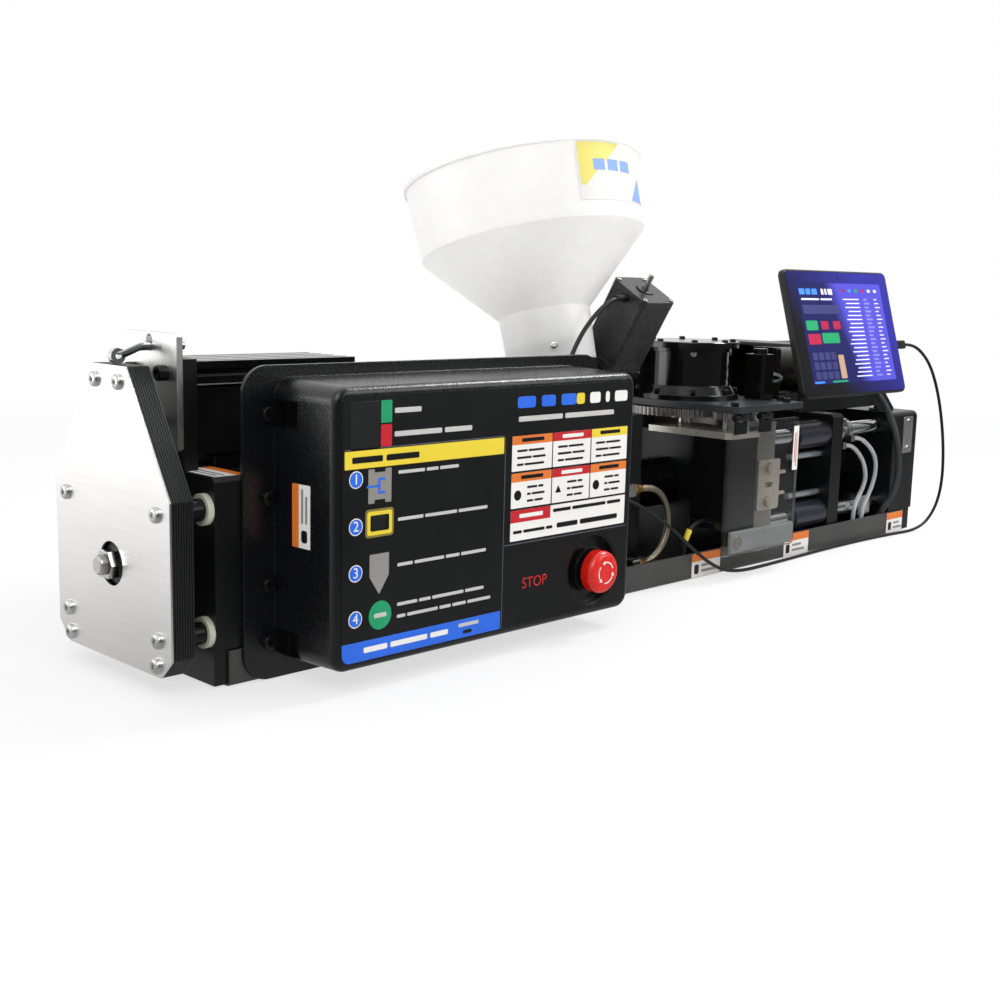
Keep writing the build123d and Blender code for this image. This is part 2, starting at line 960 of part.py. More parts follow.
with BuildPart() as barrel:
    barrel_left = barrel_plate_right - barrel_seat
    with BuildSketch(across(barrel_left)):
        with Locations(line_spot):
            Circle(barrel_radius)
            Circle(orifice_radius, mode=Mode.SUBTRACT)
    extrude(amount=barrel_right - barrel_left)
    with BuildSketch(across(barrel_left)):
        with Locations(line_spot):
            Circle(plunger_radius + fit)
    extrude(amount=barrel_right - barrel_left - orifice_length, mode=Mode.SUBTRACT)
    with BuildSketch(level(line_height)):
        with Locations((auger_x, 0)):
            Circle(chute_radius)
    extrude(amount=barrel_radius + overrun, mode=Mode.SUBTRACT)

# Heater bands, each a split ring with a clamping lug on top
with BuildPart() as heater_bands:
    band_radius = barrel_radius + band_gauge
    for index in range(band_count):
        with BuildSketch(across(feed_right + band_clear + index * band_pitch)):
            with Locations(line_spot):
                Circle(band_radius)
            with Locations((0, line_height + band_radius)):
                Rectangle(band_lug_width, 2 * band_lug_height)
            with Locations((0, line_height + band_radius)):
                Rectangle(band_slit, 2 * (band_lug_height + band_gauge), mode=Mode.SUBTRACT)
            with Locations(line_spot):
                Circle(barrel_radius + fit, mode=Mode.SUBTRACT)
        extrude(amount=band_width)

# Feed block: throat for the hopper, slanted tube for the auger, chute down to the barrel
with BuildPart() as feed_block:
    with BuildSketch(across(feed_left)):
        with Locations((0, (tray_gauge + feed_top) / 2)):
            Rectangle(feed_width, feed_top - tray_gauge)
    extrude(amount=feed_length)
    with BuildSketch(hopper_plane.offset(-throat_sink)):
        Circle(throat_radius)
    extrude(amount=throat_sink)
    with BuildSketch(hopper_plane.offset(-collar_height)):
        Circle(collar_radius)
    extrude(amount=collar_height)
    with BuildSketch(hopper_plane):
        Circle(hopper_foot_radius - hopper_wall - rest_gap)
    extrude(amount=spigot_height)
    with BuildSketch(auger_plane.offset(-auger_sink)):
        Circle(auger_tube_radius)
    extrude(amount=auger_sink + auger_rise)
    with BuildSketch(auger_plane.offset(auger_rise - auger_flange)):
        Rectangle(feed_motor_side, feed_motor_side)
    extrude(amount=auger_flange)
    with BuildSketch(hopper_plane):
        Circle(hopper_foot_radius - hopper_wall - rest_gap - spigot_wall)
    extrude(amount=spigot_height, mode=Mode.SUBTRACT)
    with BuildSketch(hopper_plane.offset(-throat_sink)):
        Circle(throat_bore)
    extrude(amount=throat_sink, mode=Mode.SUBTRACT)
    with BuildSketch(auger_plane.offset(auger_floor - auger_sink)):
        Circle(auger_bore)
    extrude(amount=auger_sink + auger_rise - auger_floor, mode=Mode.SUBTRACT)
    with BuildSketch(across(throat_x)):
        with Locations((passage_y, passage_height)):
            Circle(passage_radius)
    extrude(amount=auger_x - throat_x, mode=Mode.SUBTRACT)
    with BuildSketch(level(line_height)):
        with Locations((auger_x, 0)):
            Circle(chute_radius)
    extrude(amount=auger_cross - line_height, mode=Mode.SUBTRACT)
    with BuildSketch(across(feed_left)):
        with Locations(line_spot):
            Circle(barrel_radius + fit)
    extrude(amount=feed_length, mode=Mode.SUBTRACT)

with BuildPart() as feed_motor:
    feed_mount = auger_plane.offset(auger_rise)
    add(square_motor(feed_mount, feed_motor_side, feed_motor_length, feed_shaft_radius + fit))

# Auger: a shaft right through its motor, a core and one helical flight
with BuildPart() as feed_auger:
    auger_bottom = auger_floor + auger_gap - auger_sink
    with BuildSketch(auger_plane.offset(auger_rise - auger_flange)):
        Circle(feed_shaft_radius)
    extrude(amount=auger_flange + feed_motor_length + feed_shaft_proud)
    with BuildSketch(auger_plane.offset(auger_bottom)):
        Circle(auger_core)
    extrude(amount=auger_rise - auger_flange - auger_bottom)
    flight_height = auger_rise - auger_flange - auger_bottom - 2 * flight_gauge
    flight_reach = auger_bore - auger_gap - auger_core
    flight_middle = auger_core + flight_reach / 2
    with BuildLine() as flight_path:
        Helix(
            flight_pitch,
            flight_height,
            flight_middle,
            center=auger_plane.offset(auger_bottom + flight_gauge).origin,
            direction=auger_way,
        )
    flight_start = flight_path.line @ 0
    flight_out = flight_start - auger_plane.offset(auger_bottom + flight_gauge).origin
    with BuildSketch(Plane(origin=flight_start, x_dir=flight_out, z_dir=flight_path.line % 0)):
        Rectangle(flight_reach + auger_gap, flight_gauge)
    sweep(path=flight_path.line, is_frenet=True)

# Hopper: neck, cone and rim band with a bead, one thin shell
with BuildPart() as hopper:
    hopper_shoulder = hopper_neck + hopper_cone
    hopper_top = hopper_shoulder + hopper_band
    with BuildSketch(hopper_section):
        with BuildLine():
            Polyline(
                (hopper_foot_radius, 0),
                (hopper_neck_radius, hopper_neck),
                (hopper_shoulder_radius, hopper_shoulder),
                (hopper_rim_radius, hopper_top - hopper_bead_height),
                (hopper_rim_radius + hopper_bead, hopper_top - hopper_bead_height),
                (hopper_rim_radius + hopper_bead, hopper_top),
                (hopper_rim_radius - hopper_wall, hopper_top),
                (hopper_shoulder_radius - hopper_wall, hopper_shoulder),
                (hopper_neck_radius - hopper_wall, hopper_neck),
                (hopper_foot_radius - hopper_wall, 0),
                close=True,
            )
        make_face()
    revolve(axis=Axis(hopper_foot, hopper_way))

# Control housing: a drafted moulded box on a flange, hollow from the back
with BuildPart() as control_housing:
    with BuildSketch(facing(flange_front)):
        with Locations((box_middle, box_middle_height)):
            RectangleRounded(box_width, box_height, box_corner)
    extrude(amount=box_depth, taper=box_draft)
    fillet(control_housing.faces().sort_by(Axis.Y)[0].edges(), box_edge)
    with BuildSketch(facing(flange_rear)):
        flange_height = box_height + flange_above + flange_below
        with Locations((box_middle, box_middle_height + (flange_above - flange_below) / 2)):
            RectangleRounded(box_width + 2 * flange_side, flange_height, flange_corner)
    extrude(amount=flange_gauge)
    with BuildSketch(facing(flange_rear)):
        with Locations((box_middle, box_middle_height)):
            RectangleRounded(box_inner_width, box_inner_height, box_corner - box_wall)
        for side in (-1, 1):
            for height in pocket_heights:
                with Locations((box_middle + side * (box_width - pocket_depth - box_wall) / 2, height)):
                    Rectangle(pocket_depth + box_wall, pocket_height + 2 * box_wall, mode=Mode.SUBTRACT)
    extrude(amount=flange_gauge + pocket_length + box_wall, mode=Mode.SUBTRACT)
    with BuildSketch(facing(flange_front - pocket_length - box_wall)):
        with Locations((box_middle, box_middle_height)):
            RectangleRounded(box_inner_width, box_inner_height, box_corner - box_wall)
    extrude(amount=box_depth - pocket_length - 2 * box_wall, mode=Mode.SUBTRACT)
    with BuildSketch(facing(flange_front)):
        for side in (-1, 1):
            for height in pocket_heights:
                with Locations((box_middle + side * (box_width + overrun - pocket_depth) / 2, height)):
                    Rectangle(pocket_depth + overrun, pocket_height)
    extrude(amount=pocket_length, mode=Mode.SUBTRACT)
    with BuildSketch(facing(box_front + recess_depth + box_wall)):
        with Locations(recess_spot):
            Circle(recess_radius + box_wall)
    extrude(amount=recess_depth + box_wall)
    with BuildSketch(facing(box_front + recess_depth)):
        with Locations(recess_spot):
            Circle(recess_radius)
    extrude(amount=recess_depth, mode=Mode.SUBTRACT)
    with BuildSketch(facing(box_front + recess_depth + box_wall)):
        with Locations(recess_spot):
            Circle(stop_stem_radius + loose)
    extrude(amount=box_wall, mode=Mode.SUBTRACT)

# Stop button
recess_floor = box_front + recess_depth
stop_stem_front = recess_floor - stop_collar_height - stop_lift
with BuildPart() as stop_collar:
    with BuildSketch(facing(recess_floor)):
        with Locations(recess_spot):
            Circle(stop_collar_radius)
            Circle(stop_stem_radius + fit, mode=Mode.SUBTRACT)
    extrude(amount=stop_collar_height)

with BuildPart() as stop_stem:
    with BuildSketch(facing(stop_stem_front + stop_stem_length)):
        with Locations(recess_spot):
            Circle(stop_stem_radius)
    extrude(amount=stop_stem_length)
    with BuildSketch(facing(stop_stem_front)):
        with Locations(recess_spot):
            Circle(stop_pin_radius)
    extrude(amount=stop_pin_length)

with BuildPart() as stop_button:
    with BuildSketch(facing(stop_stem_front - rest_gap)):
        with Locations(recess_spot):
            Circle(stop_head_radius)
    extrude(amount=stop_head_height)
    fillet(stop_button.faces().sort_by(Axis.Y)[0].edges(), stop_head_edge)
    with BuildSketch(facing(stop_stem_front - rest_gap)):
        with Locations(recess_spot):
            Circle(stop_pin_radius + fit)
    extrude(amount=stop_pin_length, mode=Mode.SUBTRACT)

# Nozzle block with the barrel's seat, the melt channel and the valve's bore
with BuildPart() as nozzle_block:
    with BuildSketch(level(tray_gauge)) as nozzle_plan:
        with Locations((nozzle_left + nozzle_length / 2, 0)):
            Rectangle(nozzle_length, nozzle_width)
        chamfer(nozzle_plan.vertices(), nozzle_chamfer)
    extrude(amount=nozzle_top - tray_gauge)
    with BuildSketch(across(nozzle_right)):
        with Locations(line_spot):
            Circle(nozzle_tip_radius)
    extrude(amount=nozzle_tip)
    with BuildSketch(across(nozzle_left)):
        with Locations(line_spot):
            Circle(barrel_radius + fit)
    extrude(amount=barrel_nose, mode=Mode.SUBTRACT)
    with BuildSketch(across(barrel_right)):
        with Locations(line_spot):
            Circle(orifice_radius)
    extrude(amount=nozzle_right + nozzle_tip - barrel_right, mode=Mode.SUBTRACT)
    with BuildSketch(level(valve_foot)):
        with Locations((valve_x, 0)):
            Circle(valve_radius + fit)
    extrude(amount=nozzle_top - valve_foot, mode=Mode.SUBTRACT)

# Motor plate under the gears, with the valve motor hanging from its front end
with BuildPart() as motor_plate:
    with BuildSketch(level(nozzle_top)) as motor_plate_plan:
        plate_middle = (motor_plate_left + motor_plate_width / 2, (motor_plate_back - motor_plate_front) / 2)
        with Locations(plate_middle):
            Rectangle(motor_plate_width, motor_plate_front + motor_plate_back)
        chamfer(motor_plate_plan.vertices().group_by(Axis.Y)[0], motor_plate_corner)
        with Locations((valve_x, 0)):
            Circle(motor_plate_notch, mode=Mode.SUBTRACT)
        with Locations((pinion_x, pinion_y)):
            Circle(valve_shaft_radius + pinion_hole_gap, mode=Mode.SUBTRACT)
    extrude(amount=plate_gauge)

with BuildPart() as valve_motor:
    valve_mount = Plane(origin=(pinion_x, pinion_y, nozzle_top), x_dir=(1, 0, 0), z_dir=(0, 0, -1))
    add(square_motor(valve_mount, valve_motor_side, valve_motor_length, valve_shaft_radius + fit))

with BuildPart() as valve_pinion:
    with BuildSketch(level(gear_bottom)):
        with Locations((pinion_x, pinion_y)):
            add(gear_outline(pinion_teeth, mesh_angle + 180 + 180 / pinion_teeth))
    extrude(amount=gear_thickness)
    with BuildSketch(level(nozzle_top - valve_shaft_grip)):
        with Locations((pinion_x, pinion_y)):
            Circle(valve_shaft_radius)
    extrude(amount=gear_bottom + valve_shaft_grip - nozzle_top)

# Valve gear on the stem that turns in the nozzle block and in the drum
with BuildPart() as valve_gear:
    with BuildSketch(level(gear_bottom)):
        with Locations((valve_x, 0)):
            add(gear_outline(gear_teeth, mesh_angle))
            with PolarLocations(gear_hole_ring, gear_hole_count):
                Circle(gear_hole_radius, mode=Mode.SUBTRACT)
    extrude(amount=gear_thickness)
    with BuildSketch(level(gear_bottom - gear_hub)):
        with Locations((valve_x, 0)):
            Circle(gear_hub_radius)
    extrude(amount=gear_hub)
    with BuildSketch(level(valve_foot + rest_gap)):
        with Locations((valve_x, 0)):
            Circle(valve_radius)
    extrude(amount=drum_top - valve_foot - 2 * rest_gap)

# Top plate over the gears, and what holds it up
with BuildPart() as top_plate:
    with BuildSketch(level(top_plate_bottom)) as top_plate_plan:
        with Locations(((top_plate_left + top_plate_right) / 2, (top_plate_back - top_plate_front) / 2)):
            Rectangle(top_plate_width, top_plate_front + top_plate_back)
        chamfer(top_plate_plan.vertices(), top_plate_corner)
        with Locations((valve_x, 0)):
            Circle(top_plate_hole, mode=Mode.SUBTRACT)
    extrude(amount=plate_gauge)

with BuildPart() as plate_posts:
    with BuildSketch(level(platen_top)):
        with Locations(*[(top_plate_right - post_inset, side * post_half) for side in (-1, 1)]):
            Circle(post_radius)
    extrude(amount=top_plate_bottom - platen_top)
    with BuildSketch(level(motor_plate_top)):
        with Locations((
            motor_plate_left + front_block_left + front_block_width / 2,
            front_block_depth / 2 - motor_plate_front,
        )):
            Rectangle(front_block_width, front_block_depth)
    extrude(amount=top_plate_bottom - motor_plate_top)

# Bearing drum on the top plate: disc, tapered skirt, body with a lip, and cap, turned round the stem
with BuildPart() as bearing_drum:
    skirt_bottom = top_plate_top + drum_disc
    body_bottom = skirt_bottom + drum_skirt
    with BuildSketch(facing(0)):
        with BuildLine():
            Polyline(
                (valve_x + valve_radius + fit, top_plate_top),
                (valve_x + drum_disc_radius, top_plate_top),
                (valve_x + drum_disc_radius, skirt_bottom),
                (valve_x + drum_skirt_radius, skirt_bottom),
                (valve_x + drum_skirt_top_radius, body_bottom),
                (valve_x + drum_radius, body_bottom),
                (valve_x + drum_radius, drum_top - drum_lip),
                (valve_x + drum_lip_radius, drum_top - drum_lip),
                (valve_x + drum_lip_radius, drum_top),
                (valve_x + drum_cap_radius, drum_top),
                (valve_x + drum_cap_radius, drum_top + drum_cap - drum_cap_edge),
                (valve_x + drum_cap_radius - drum_cap_edge, drum_top + drum_cap),
                (valve_x, drum_top + drum_cap),
                (valve_x, drum_top),
                (valve_x + valve_radius + fit, drum_top),
                close=True,
            )
        make_face()
    revolve(axis=Axis((valve_x, 0, 0), (0, 0, 1)))

with BuildPart() as valve_sensor:
    sensor_spot = (top_plate_right - sensor_inset_x - sensor_length / 2, sensor_width / 2 - sensor_front)
    with BuildSketch(level(top_plate_top)):
        with Locations(sensor_spot):
            outline = Rectangle(sensor_length, sensor_width)
            chamfer(outline.vertices(), sensor_chamfer)
    extrude(amount=sensor_height)
    with BuildSketch(level(top_plate_top + sensor_height)):
        with Locations(sensor_spot):
            Circle(sensor_nose_radius)
    extrude(amount=sensor_nose)

# Fixed platen with the side clamps that hold the mold
with BuildPart() as fixed_platen:
    with BuildSketch(across(nozzle_right)):
        with Locations((0, (tray_gauge + platen_top) / 2)):
            Rectangle(2 * platen_half_width, platen_top - tray_gauge)
        with Locations(*bar_spots):
            Circle(bar_radius + fit, mode=Mode.SUBTRACT)
        with Locations(line_spot):
            Circle(nozzle_tip_radius + fit, mode=Mode.SUBTRACT)
    extrude(amount=platen_depth)

with BuildPart() as side_clamps:
    clamp_length = clamp_back + platen_depth + clamp_overhang
    clamp_middle = nozzle_right - clamp_back + clamp_length / 2
    for side in (-1, 1):
        clamp_outer = platen_half_width + clamp_gauge / 2 + side * clamp_gauge / 2
        with BuildSketch(facing(side * clamp_outer)):
            with Locations((clamp_middle, line_height)):
                RectangleRounded(clamp_length, clamp_height, clamp_corner)
                SlotOverall(clamp_slot_length, clamp_slot_width, mode=Mode.SUBTRACT)
        extrude(amount=clamp_gauge)
        with BuildSketch(across(platen_right + clamp_overhang)):
            for half in (-1, 1):
                pin_y = side * (platen_half_width + clamp_gauge / 2)
                with Locations((pin_y, line_height + half * clamp_pin_half)):
                    Circle(clamp_pin_radius)
        extrude(amount=clamp_pin_length)

with BuildPart() as tie_bars:
    with BuildSketch(across(nozzle_right + bar_inset)):
        with Locations(*bar_spots):
            Circle(bar_radius)
    extrude(amount=housing_left + bar_grip - nozzle_right - bar_inset)

# Moving platen on the tie bars
with BuildPart() as moving_platen:
    with BuildSketch(across(moving_left)):
        with Locations((0, (moving_bottom + moving_top) / 2)):
            outline = Rectangle(2 * moving_half_width, moving_top - moving_bottom)
            chamfer(outline.vertices(), moving_chamfer)
        with Locations(*bar_spots):
            Circle(bar_radius + bar_play, mode=Mode.SUBTRACT)
    extrude(amount=moving_depth)

with BuildPart() as platen_sleeves:
    with BuildSketch(across(moving_left - sleeve_bar_length)):
        with Locations(*bar_spots):
            Circle(sleeve_bar_radius)
            Circle(bar_radius + bar_play, mode=Mode.SUBTRACT)
    extrude(amount=sleeve_bar_length)

with BuildPart() as guide_pins:
    with BuildSketch(across(moving_left - guide_length)):
        with Locations(*guide_spots):
            Circle(guide_radius)
    extrude(amount=guide_length)

# Clamp cylinder with the upper cylinder above it, the clamp ram and the clamp housing at the screen end
with BuildPart() as clamp_cylinder:
    with BuildSketch(across(cylinder_left)):
        with Locations(line_spot):
            Circle(cylinder_radius)
    extrude(amount=cylinder_length)
    with BuildSketch(across(cylinder_left)):
        with Locations(line_spot):
            RectangleRounded(cylinder_cap_side, cylinder_cap_side, cylinder_cap_corner)
    extrude(amount=cylinder_cap)
    with BuildSketch(across(cylinder_left)):
        with Locations(line_spot):
            Circle(ram_radius + fit)
    extrude(amount=cylinder_length, mode=Mode.SUBTRACT)
    with BuildSketch(across(upper_left)):
        with Locations((upper_y, upper_height)):
            Circle(upper_radius)
    extrude(amount=upper_length)
    for cap_left in (upper_left, upper_right - upper_cap):
        with BuildSketch(across(cap_left)):
            with Locations((upper_y, upper_height)):
                RectangleRounded(upper_cap_side, upper_cap_side, cylinder_cap_corner)
        extrude(amount=upper_cap)

with BuildPart() as clamp_ram:
    with BuildSketch(across(moving_right)):
        with Locations(line_spot):
            Circle(ram_radius)
    extrude(amount=ram_length)
    with BuildSketch(across(moving_right)):
        with Locations(line_spot):
            RegularPolygon(ram_nut_side / 2, 6, major_radius=False)
    extrude(amount=ram_nut_width)

with BuildPart() as clamp_housing:
    with BuildSketch(across(housing_left)):
        with Locations((0, (tray_gauge + ledge) / 2)):
            Rectangle(2 * block_narrow, ledge - tray_gauge)
        with Locations((0, (ledge + housing_top) / 2)):
            body = Rectangle(tray_width, housing_top - ledge)
            fillet(body.vertices().group_by(Axis.Y)[-1], housing_round)
    extrude(amount=housing_length)
    with BuildSketch(across(housing_left)):
        with Locations(*bar_spots):
            Circle(bar_radius + fit)
    extrude(amount=bar_grip, mode=Mode.SUBTRACT)
    with BuildSketch(across(housing_left)):
        with Locations(line_spot):
            Circle(ram_radius + loose)
    extrude(amount=moving_right + ram_length + ram_bore_extra - housing_left, mode=Mode.SUBTRACT)

# Fittings on the upper front tie bar, each with an ear that a coolant tube comes out of, the stop block
# on the lower bar, and the hose's fittings on the feed block and on the tray
fitting_left = moving_right + fitting_gap
fitting_spot = (-bar_half_y, line_height + bar_half_z)
ear_heights = [line_height + bar_half_z - drop for drop in ear_drops]
with BuildPart() as tube_fittings:
    for index, height in enumerate(ear_heights):
        with BuildSketch(across(fitting_left + index * fitting_pitch)):
            with Locations(fitting_spot):
                Circle(fitting_radius)
            with Locations((-(tube_lane + ear_reach + bar_half_y) / 2, height)):
                Rectangle(tube_lane + ear_reach - bar_half_y, ear_height)
            with Locations(fitting_spot):
                Circle(bar_radius + fit, mode=Mode.SUBTRACT)
        extrude(amount=fitting_width)
    with BuildSketch(across(moving_right + stop_block_gap)):
        with Locations((-bar_half_y, line_height - bar_half_z)):
            Rectangle(stop_block_width, stop_block_height)
            Circle(bar_radius + fit, mode=Mode.SUBTRACT)
    extrude(amount=stop_block_length)
    hose_start = feed_right - hose_inset
    hose_end = feed_right - hose_foot_inset
    fitting_reach = hose_lane + hose_fitting / 2
    with BuildSketch(across(hose_start - hose_fitting)):
        with Locations((-(feed_width / 2 + fitting_reach) / 2, hose_height)):
            Rectangle(fitting_reach - feed_width / 2, hose_fitting)
    extrude(amount=hose_fitting)
    foot_top = hose_foot_height + hose_fitting / 2
    with BuildSketch(across(hose_end - hose_fitting)):
        with Locations((-hose_lane, (tray_gauge + foot_top) / 2)):
            Rectangle(hose_fitting, foot_top - tray_gauge)
    extrude(amount=hose_fitting)

# Routes chosen by hand: the hose's loop, the loom over the tray's lip, and the leads
hose_route = [
    (hose_start, -hose_lane, hose_height),
    (28, -hose_lane, hose_height),
    (45.4, -hose_lane, 117.5),
    (60.2, -hose_lane, 107.7),
    (70, -hose_lane, 92.9),
    (73.5, -hose_lane, 75.5),
    (70, -hose_lane, 58.1),
    (60.2, -hose_lane, 43.3),
    (45.4, -hose_lane, 33.5),
    (28, -hose_lane, hose_foot_height),
    (hose_end, -hose_lane, hose_foot_height),
]
loom_x = upper_right - upper_cap / 2
loom_route = [
    (loom_x, upper_y - upper_cap_side / 2, upper_height),
    (loom_x, -12, upper_height),
    (568.5, -40, 230),
    (570, -65, 214),
    (574, -84, 190),
    (579, -96, 162),
    (583.5, -102, 131),
    (586.5, -104, 100),
    (585.5, -101.5, 74),
    (582, -95.5, 54),
    (578, -85.5, 37),
    (576, -80, 20),
    (576, -80, tray_gauge),
]
feed_lead_start = feed_mount.from_local_coords((-feed_motor_side / 2, 0, feed_motor_length - feed_lead_inset))
feed_lead_route = [
    (feed_lead_start.X, feed_lead_start.Y, feed_lead_start.Z),
    (-26, feed_lead_start.Y, feed_lead_start.Z),
    (-45, -62.5, 334),
    (-64, -62, 319.5),
    (-81, -61.5, 301.5),
    (-95, -61, 280),
    (-105, -61, 255),
    (-110.5, -62, 228),
    (-112.5, -63.5, 195),
    (-113, -64.5, 155),
    (-112.4, -65, 112),
    (-112.8, -64.6, 66),
    (-112.2, -65, 24),
    (-112.2, -65, tray_gauge),
]
sensor_lead_height = top_plate_top + sensor_lead_rise
sensor_lead_route = [
    (top_plate_right - sensor_inset_x, sensor_width / 2 - sensor_front, sensor_lead_height),
    (298, sensor_width / 2 - sensor_front, sensor_lead_height),
    (321, -64, 242.5),
    (343, -51, 236.5),
    (359, -35, 232),
    (374, -14, 230),
    (386, 6, 231.5),
    (399, 22, 234.5),
    (415, sensor_lead_y, upper_height),
    (upper_left, sensor_lead_y, upper_height),
]
valve_lead_height = nozzle_top - valve_motor_length + valve_lead_rise
valve_lead_route = [
    (pinion_x - valve_motor_side / 2, -valve_lead_lane, valve_lead_height),
    (121, -valve_lead_lane, valve_lead_height),
    (108, -83.5, 61.5),
    (101, -83, 47),
    (99, -82.5, 30),
    (99, -82.5, tray_gauge),
]

# Coolant tubes from the ears down to the tray's floor, with the hose, the loom and the leads
with BuildPart() as coolant_tubes:
    for index, height in enumerate(ear_heights):
        tube_start = fitting_left + fitting_width + index * fitting_pitch
        tube_drop = height - tray_gauge
        tube_route = [
            (tube_start + tube_bows[index] * out, -tube_lane, height - tube_drop * down)
            for out, down in tube_shares[index]
        ]
        add(tube_along(tube_route, tube_radius))
    add(tube_along(hose_route, hose_radius))
    add(tube_along(loom_route, loom_radius))
    add(tube_along(feed_lead_route, feed_lead_radius))
    add(tube_along(sensor_lead_route, sensor_lead_radius))
    add(tube_along(valve_lead_route, valve_lead_radius))

# Rear panel, folded forward at its top
with BuildPart() as rear_panel:
    with BuildSketch(across(panel_left)):
        with Locations((panel_front + panel_gauge / 2, (panel_lift + panel_top) / 2)):
            Rectangle(panel_gauge, panel_top - panel_lift)
        with Locations((panel_front + panel_gauge - panel_fold / 2, panel_top - panel_gauge / 2)):
            Rectangle(panel_fold, panel_gauge)
    extrude(amount=housing_right - panel_left)

# Guard door of clear sheet, its grip bar, and hinges under the top plate's front edge
guard_front = hinge_y
with BuildPart() as guard_door:
    with BuildSketch(facing(guard_front + guard_gauge)):
        with Locations((guard_left + guard_width / 2, (guard_bottom + guard_top) / 2)):
            RectangleRounded(guard_width, guard_top - guard_bottom, guard_corner)
    extrude(amount=guard_gauge)

with BuildPart() as guard_bar:
    with BuildSketch(facing(guard_front)):
        with Locations((guard_left + guard_width / 2, guard_bottom + guard_bar_rise + guard_bar_height / 2)):
            RectangleRounded(guard_width - 2 * guard_bar_inset, guard_bar_height, guard_corner)
    extrude(amount=guard_bar_gauge)
    chamfer(guard_bar.faces().sort_by(Axis.Y)[0].edges(), guard_bar_edge)

with BuildPart() as guard_hinges:
    hinge_span = hinge_knuckle + 2 * (hinge_play + hinge_ear)
    for place in hinge_places:
        with BuildSketch(across(place - hinge_knuckle / 2)):
            with Locations((hinge_y, hinge_height)):
                Circle(hinge_knuckle_radius)
            with Locations((hinge_y, (hinge_height + top_plate_bottom) / 2)):
                Rectangle(2 * hinge_knuckle_radius, top_plate_bottom - hinge_height)
            with Locations((hinge_y + hinge_leaf / 2, top_plate_bottom - hinge_leaf_gauge / 2)):
                Rectangle(hinge_leaf, hinge_leaf_gauge)
        extrude(amount=hinge_knuckle)
        with BuildSketch(across(place - hinge_span / 2)):
            with Locations((hinge_y, hinge_height)):
                Circle(hinge_pin_radius)
        extrude(amount=hinge_span)

with BuildPart() as guard_straps:
    for place in hinge_places:
        for side in (-1, 1):
            ear_middle = place + side * (hinge_knuckle / 2 + hinge_play + hinge_ear / 2)
            with BuildSketch(across(ear_middle - hinge_ear / 2)):
                with Locations((hinge_y, hinge_height)):
                    Circle(hinge_knuckle_radius)
                with Locations((hinge_y - strap_gauge / 2, hinge_height - strap_length / 2)):
                    Rectangle(strap_gauge, strap_length)
                with Locations((hinge_y, hinge_height)):
                    Circle(hinge_pin_radius + fit, mode=Mode.SUBTRACT)
            extrude(amount=hinge_ear)
        with BuildSketch(facing(guard_front)):
            strap_top = hinge_height - hinge_knuckle_radius - overrun
            strap_bottom = hinge_height - strap_length
            with Locations((place, (strap_top + strap_bottom) / 2)):
                Rectangle(hinge_span, strap_top - strap_bottom)
        extrude(amount=strap_gauge)

# Tablet, the folded bracket that carries it on the rear panel, and its plug
with BuildPart() as tablet:
    with BuildSketch(tablet_plane.offset(-tablet_gauge / 2)):
        RectangleRounded(tablet_width, tablet_tall, tablet_corner)
    extrude(amount=tablet_gauge)
    chamfer(tablet.faces().sort_by(Axis.Y)[0].edges(), tablet_edge)

with BuildPart() as tablet_bracket:
    sheet_middle = (tablet_gauge + bracket_sheet) / 2
    arm_height = panel_top + bracket_sheet / 2
    arm_front = tablet_y + (sheet_middle - (tablet_height - arm_height) * sin(tablet_lean)) / cos(tablet_lean)
    arm_back = panel_front + panel_gauge
    with BuildSketch(tablet_plane.offset(-tablet_gauge / 2 - bracket_sheet)):
        RectangleRounded(holder_width, holder_tall, holder_corner)
    extrude(amount=bracket_sheet)
    with BuildSketch(level(panel_top)):
        with Locations((tablet_x, (arm_front + arm_back) / 2)):
            Rectangle(arm_width, arm_back - arm_front)
    extrude(amount=bracket_sheet)
    for side in (-1, 1):
        with BuildSketch(across(tablet_x + side * (arm_width - bracket_sheet) / 2 - bracket_sheet / 2)):
            with BuildLine():
                Polyline(
                    (arm_front, arm_height),
                    (arm_front + gusset_run, arm_height),
                    (arm_front + gusset_rise * tan(tablet_lean), arm_height + gusset_rise),
                    close=True,
                )
            make_face()
        extrude(amount=bracket_sheet)

with BuildPart() as tablet_plug:
    plug_plane = Plane(
        origin=tablet_plane.from_local_coords((tablet_width / 2, -plug_drop, 0)),
        x_dir=(0, sin(tablet_lean), cos(tablet_lean)),
        z_dir=(1, 0, 0),
    )
    with BuildSketch(plug_plane):
        RectangleRounded(plug_width, plug_gauge, plug_edge)
    extrude(amount=plug_length)

# Tablet cable, chosen by hand: out of the plug, down past the end, along the table and up behind the housing
cord_start = plug_plane.offset(plug_length).origin
cord_route = [
    (cord_start.X, cord_start.Y, cord_start.Z),
    (cord_start.X + plug_length, cord_start.Y, cord_start.Z),
    (618, -109, 272),
    (641, -114, 250),
    (659, -119, 212),
    (672, -122.5, 168),
    (682, -124, 120),
    (689, -122, 74),
    (687, -117, 38),
    (669, -111, 12),
    (638, -106, 2.4),
    (594, -101.5, 2.4),
    (546, -98.6, 2.4),
    (497, -97.4, 2.4),
    (446, -97.8, 2.4),
    (394, -99.3, 2.4),
    (342, -101.6, 2.4),
    (290, -104.4, 2.4),
    (240, -106.6, 2.4),
    (192, -107.4, 2.4),
    (152, -106.6, 8),
    (118, -105, 24),
    (86, -103, 46),
    (52, -101.4, 71),
    (14, -100, 94),
    (-26, -98, 113),
    (-58, -92.5, 124),
    (-84, -84, 130),
    (-104, -74, 133),
]
with BuildPart() as tablet_cord:
    add(tube_along(cord_route, cord_radius))
for route in (cord_route, hose_route, loom_route, feed_lead_route, sensor_lead_route, valve_lead_route):
    print("bends", [round(radius) for radius in bend_radii(route)])

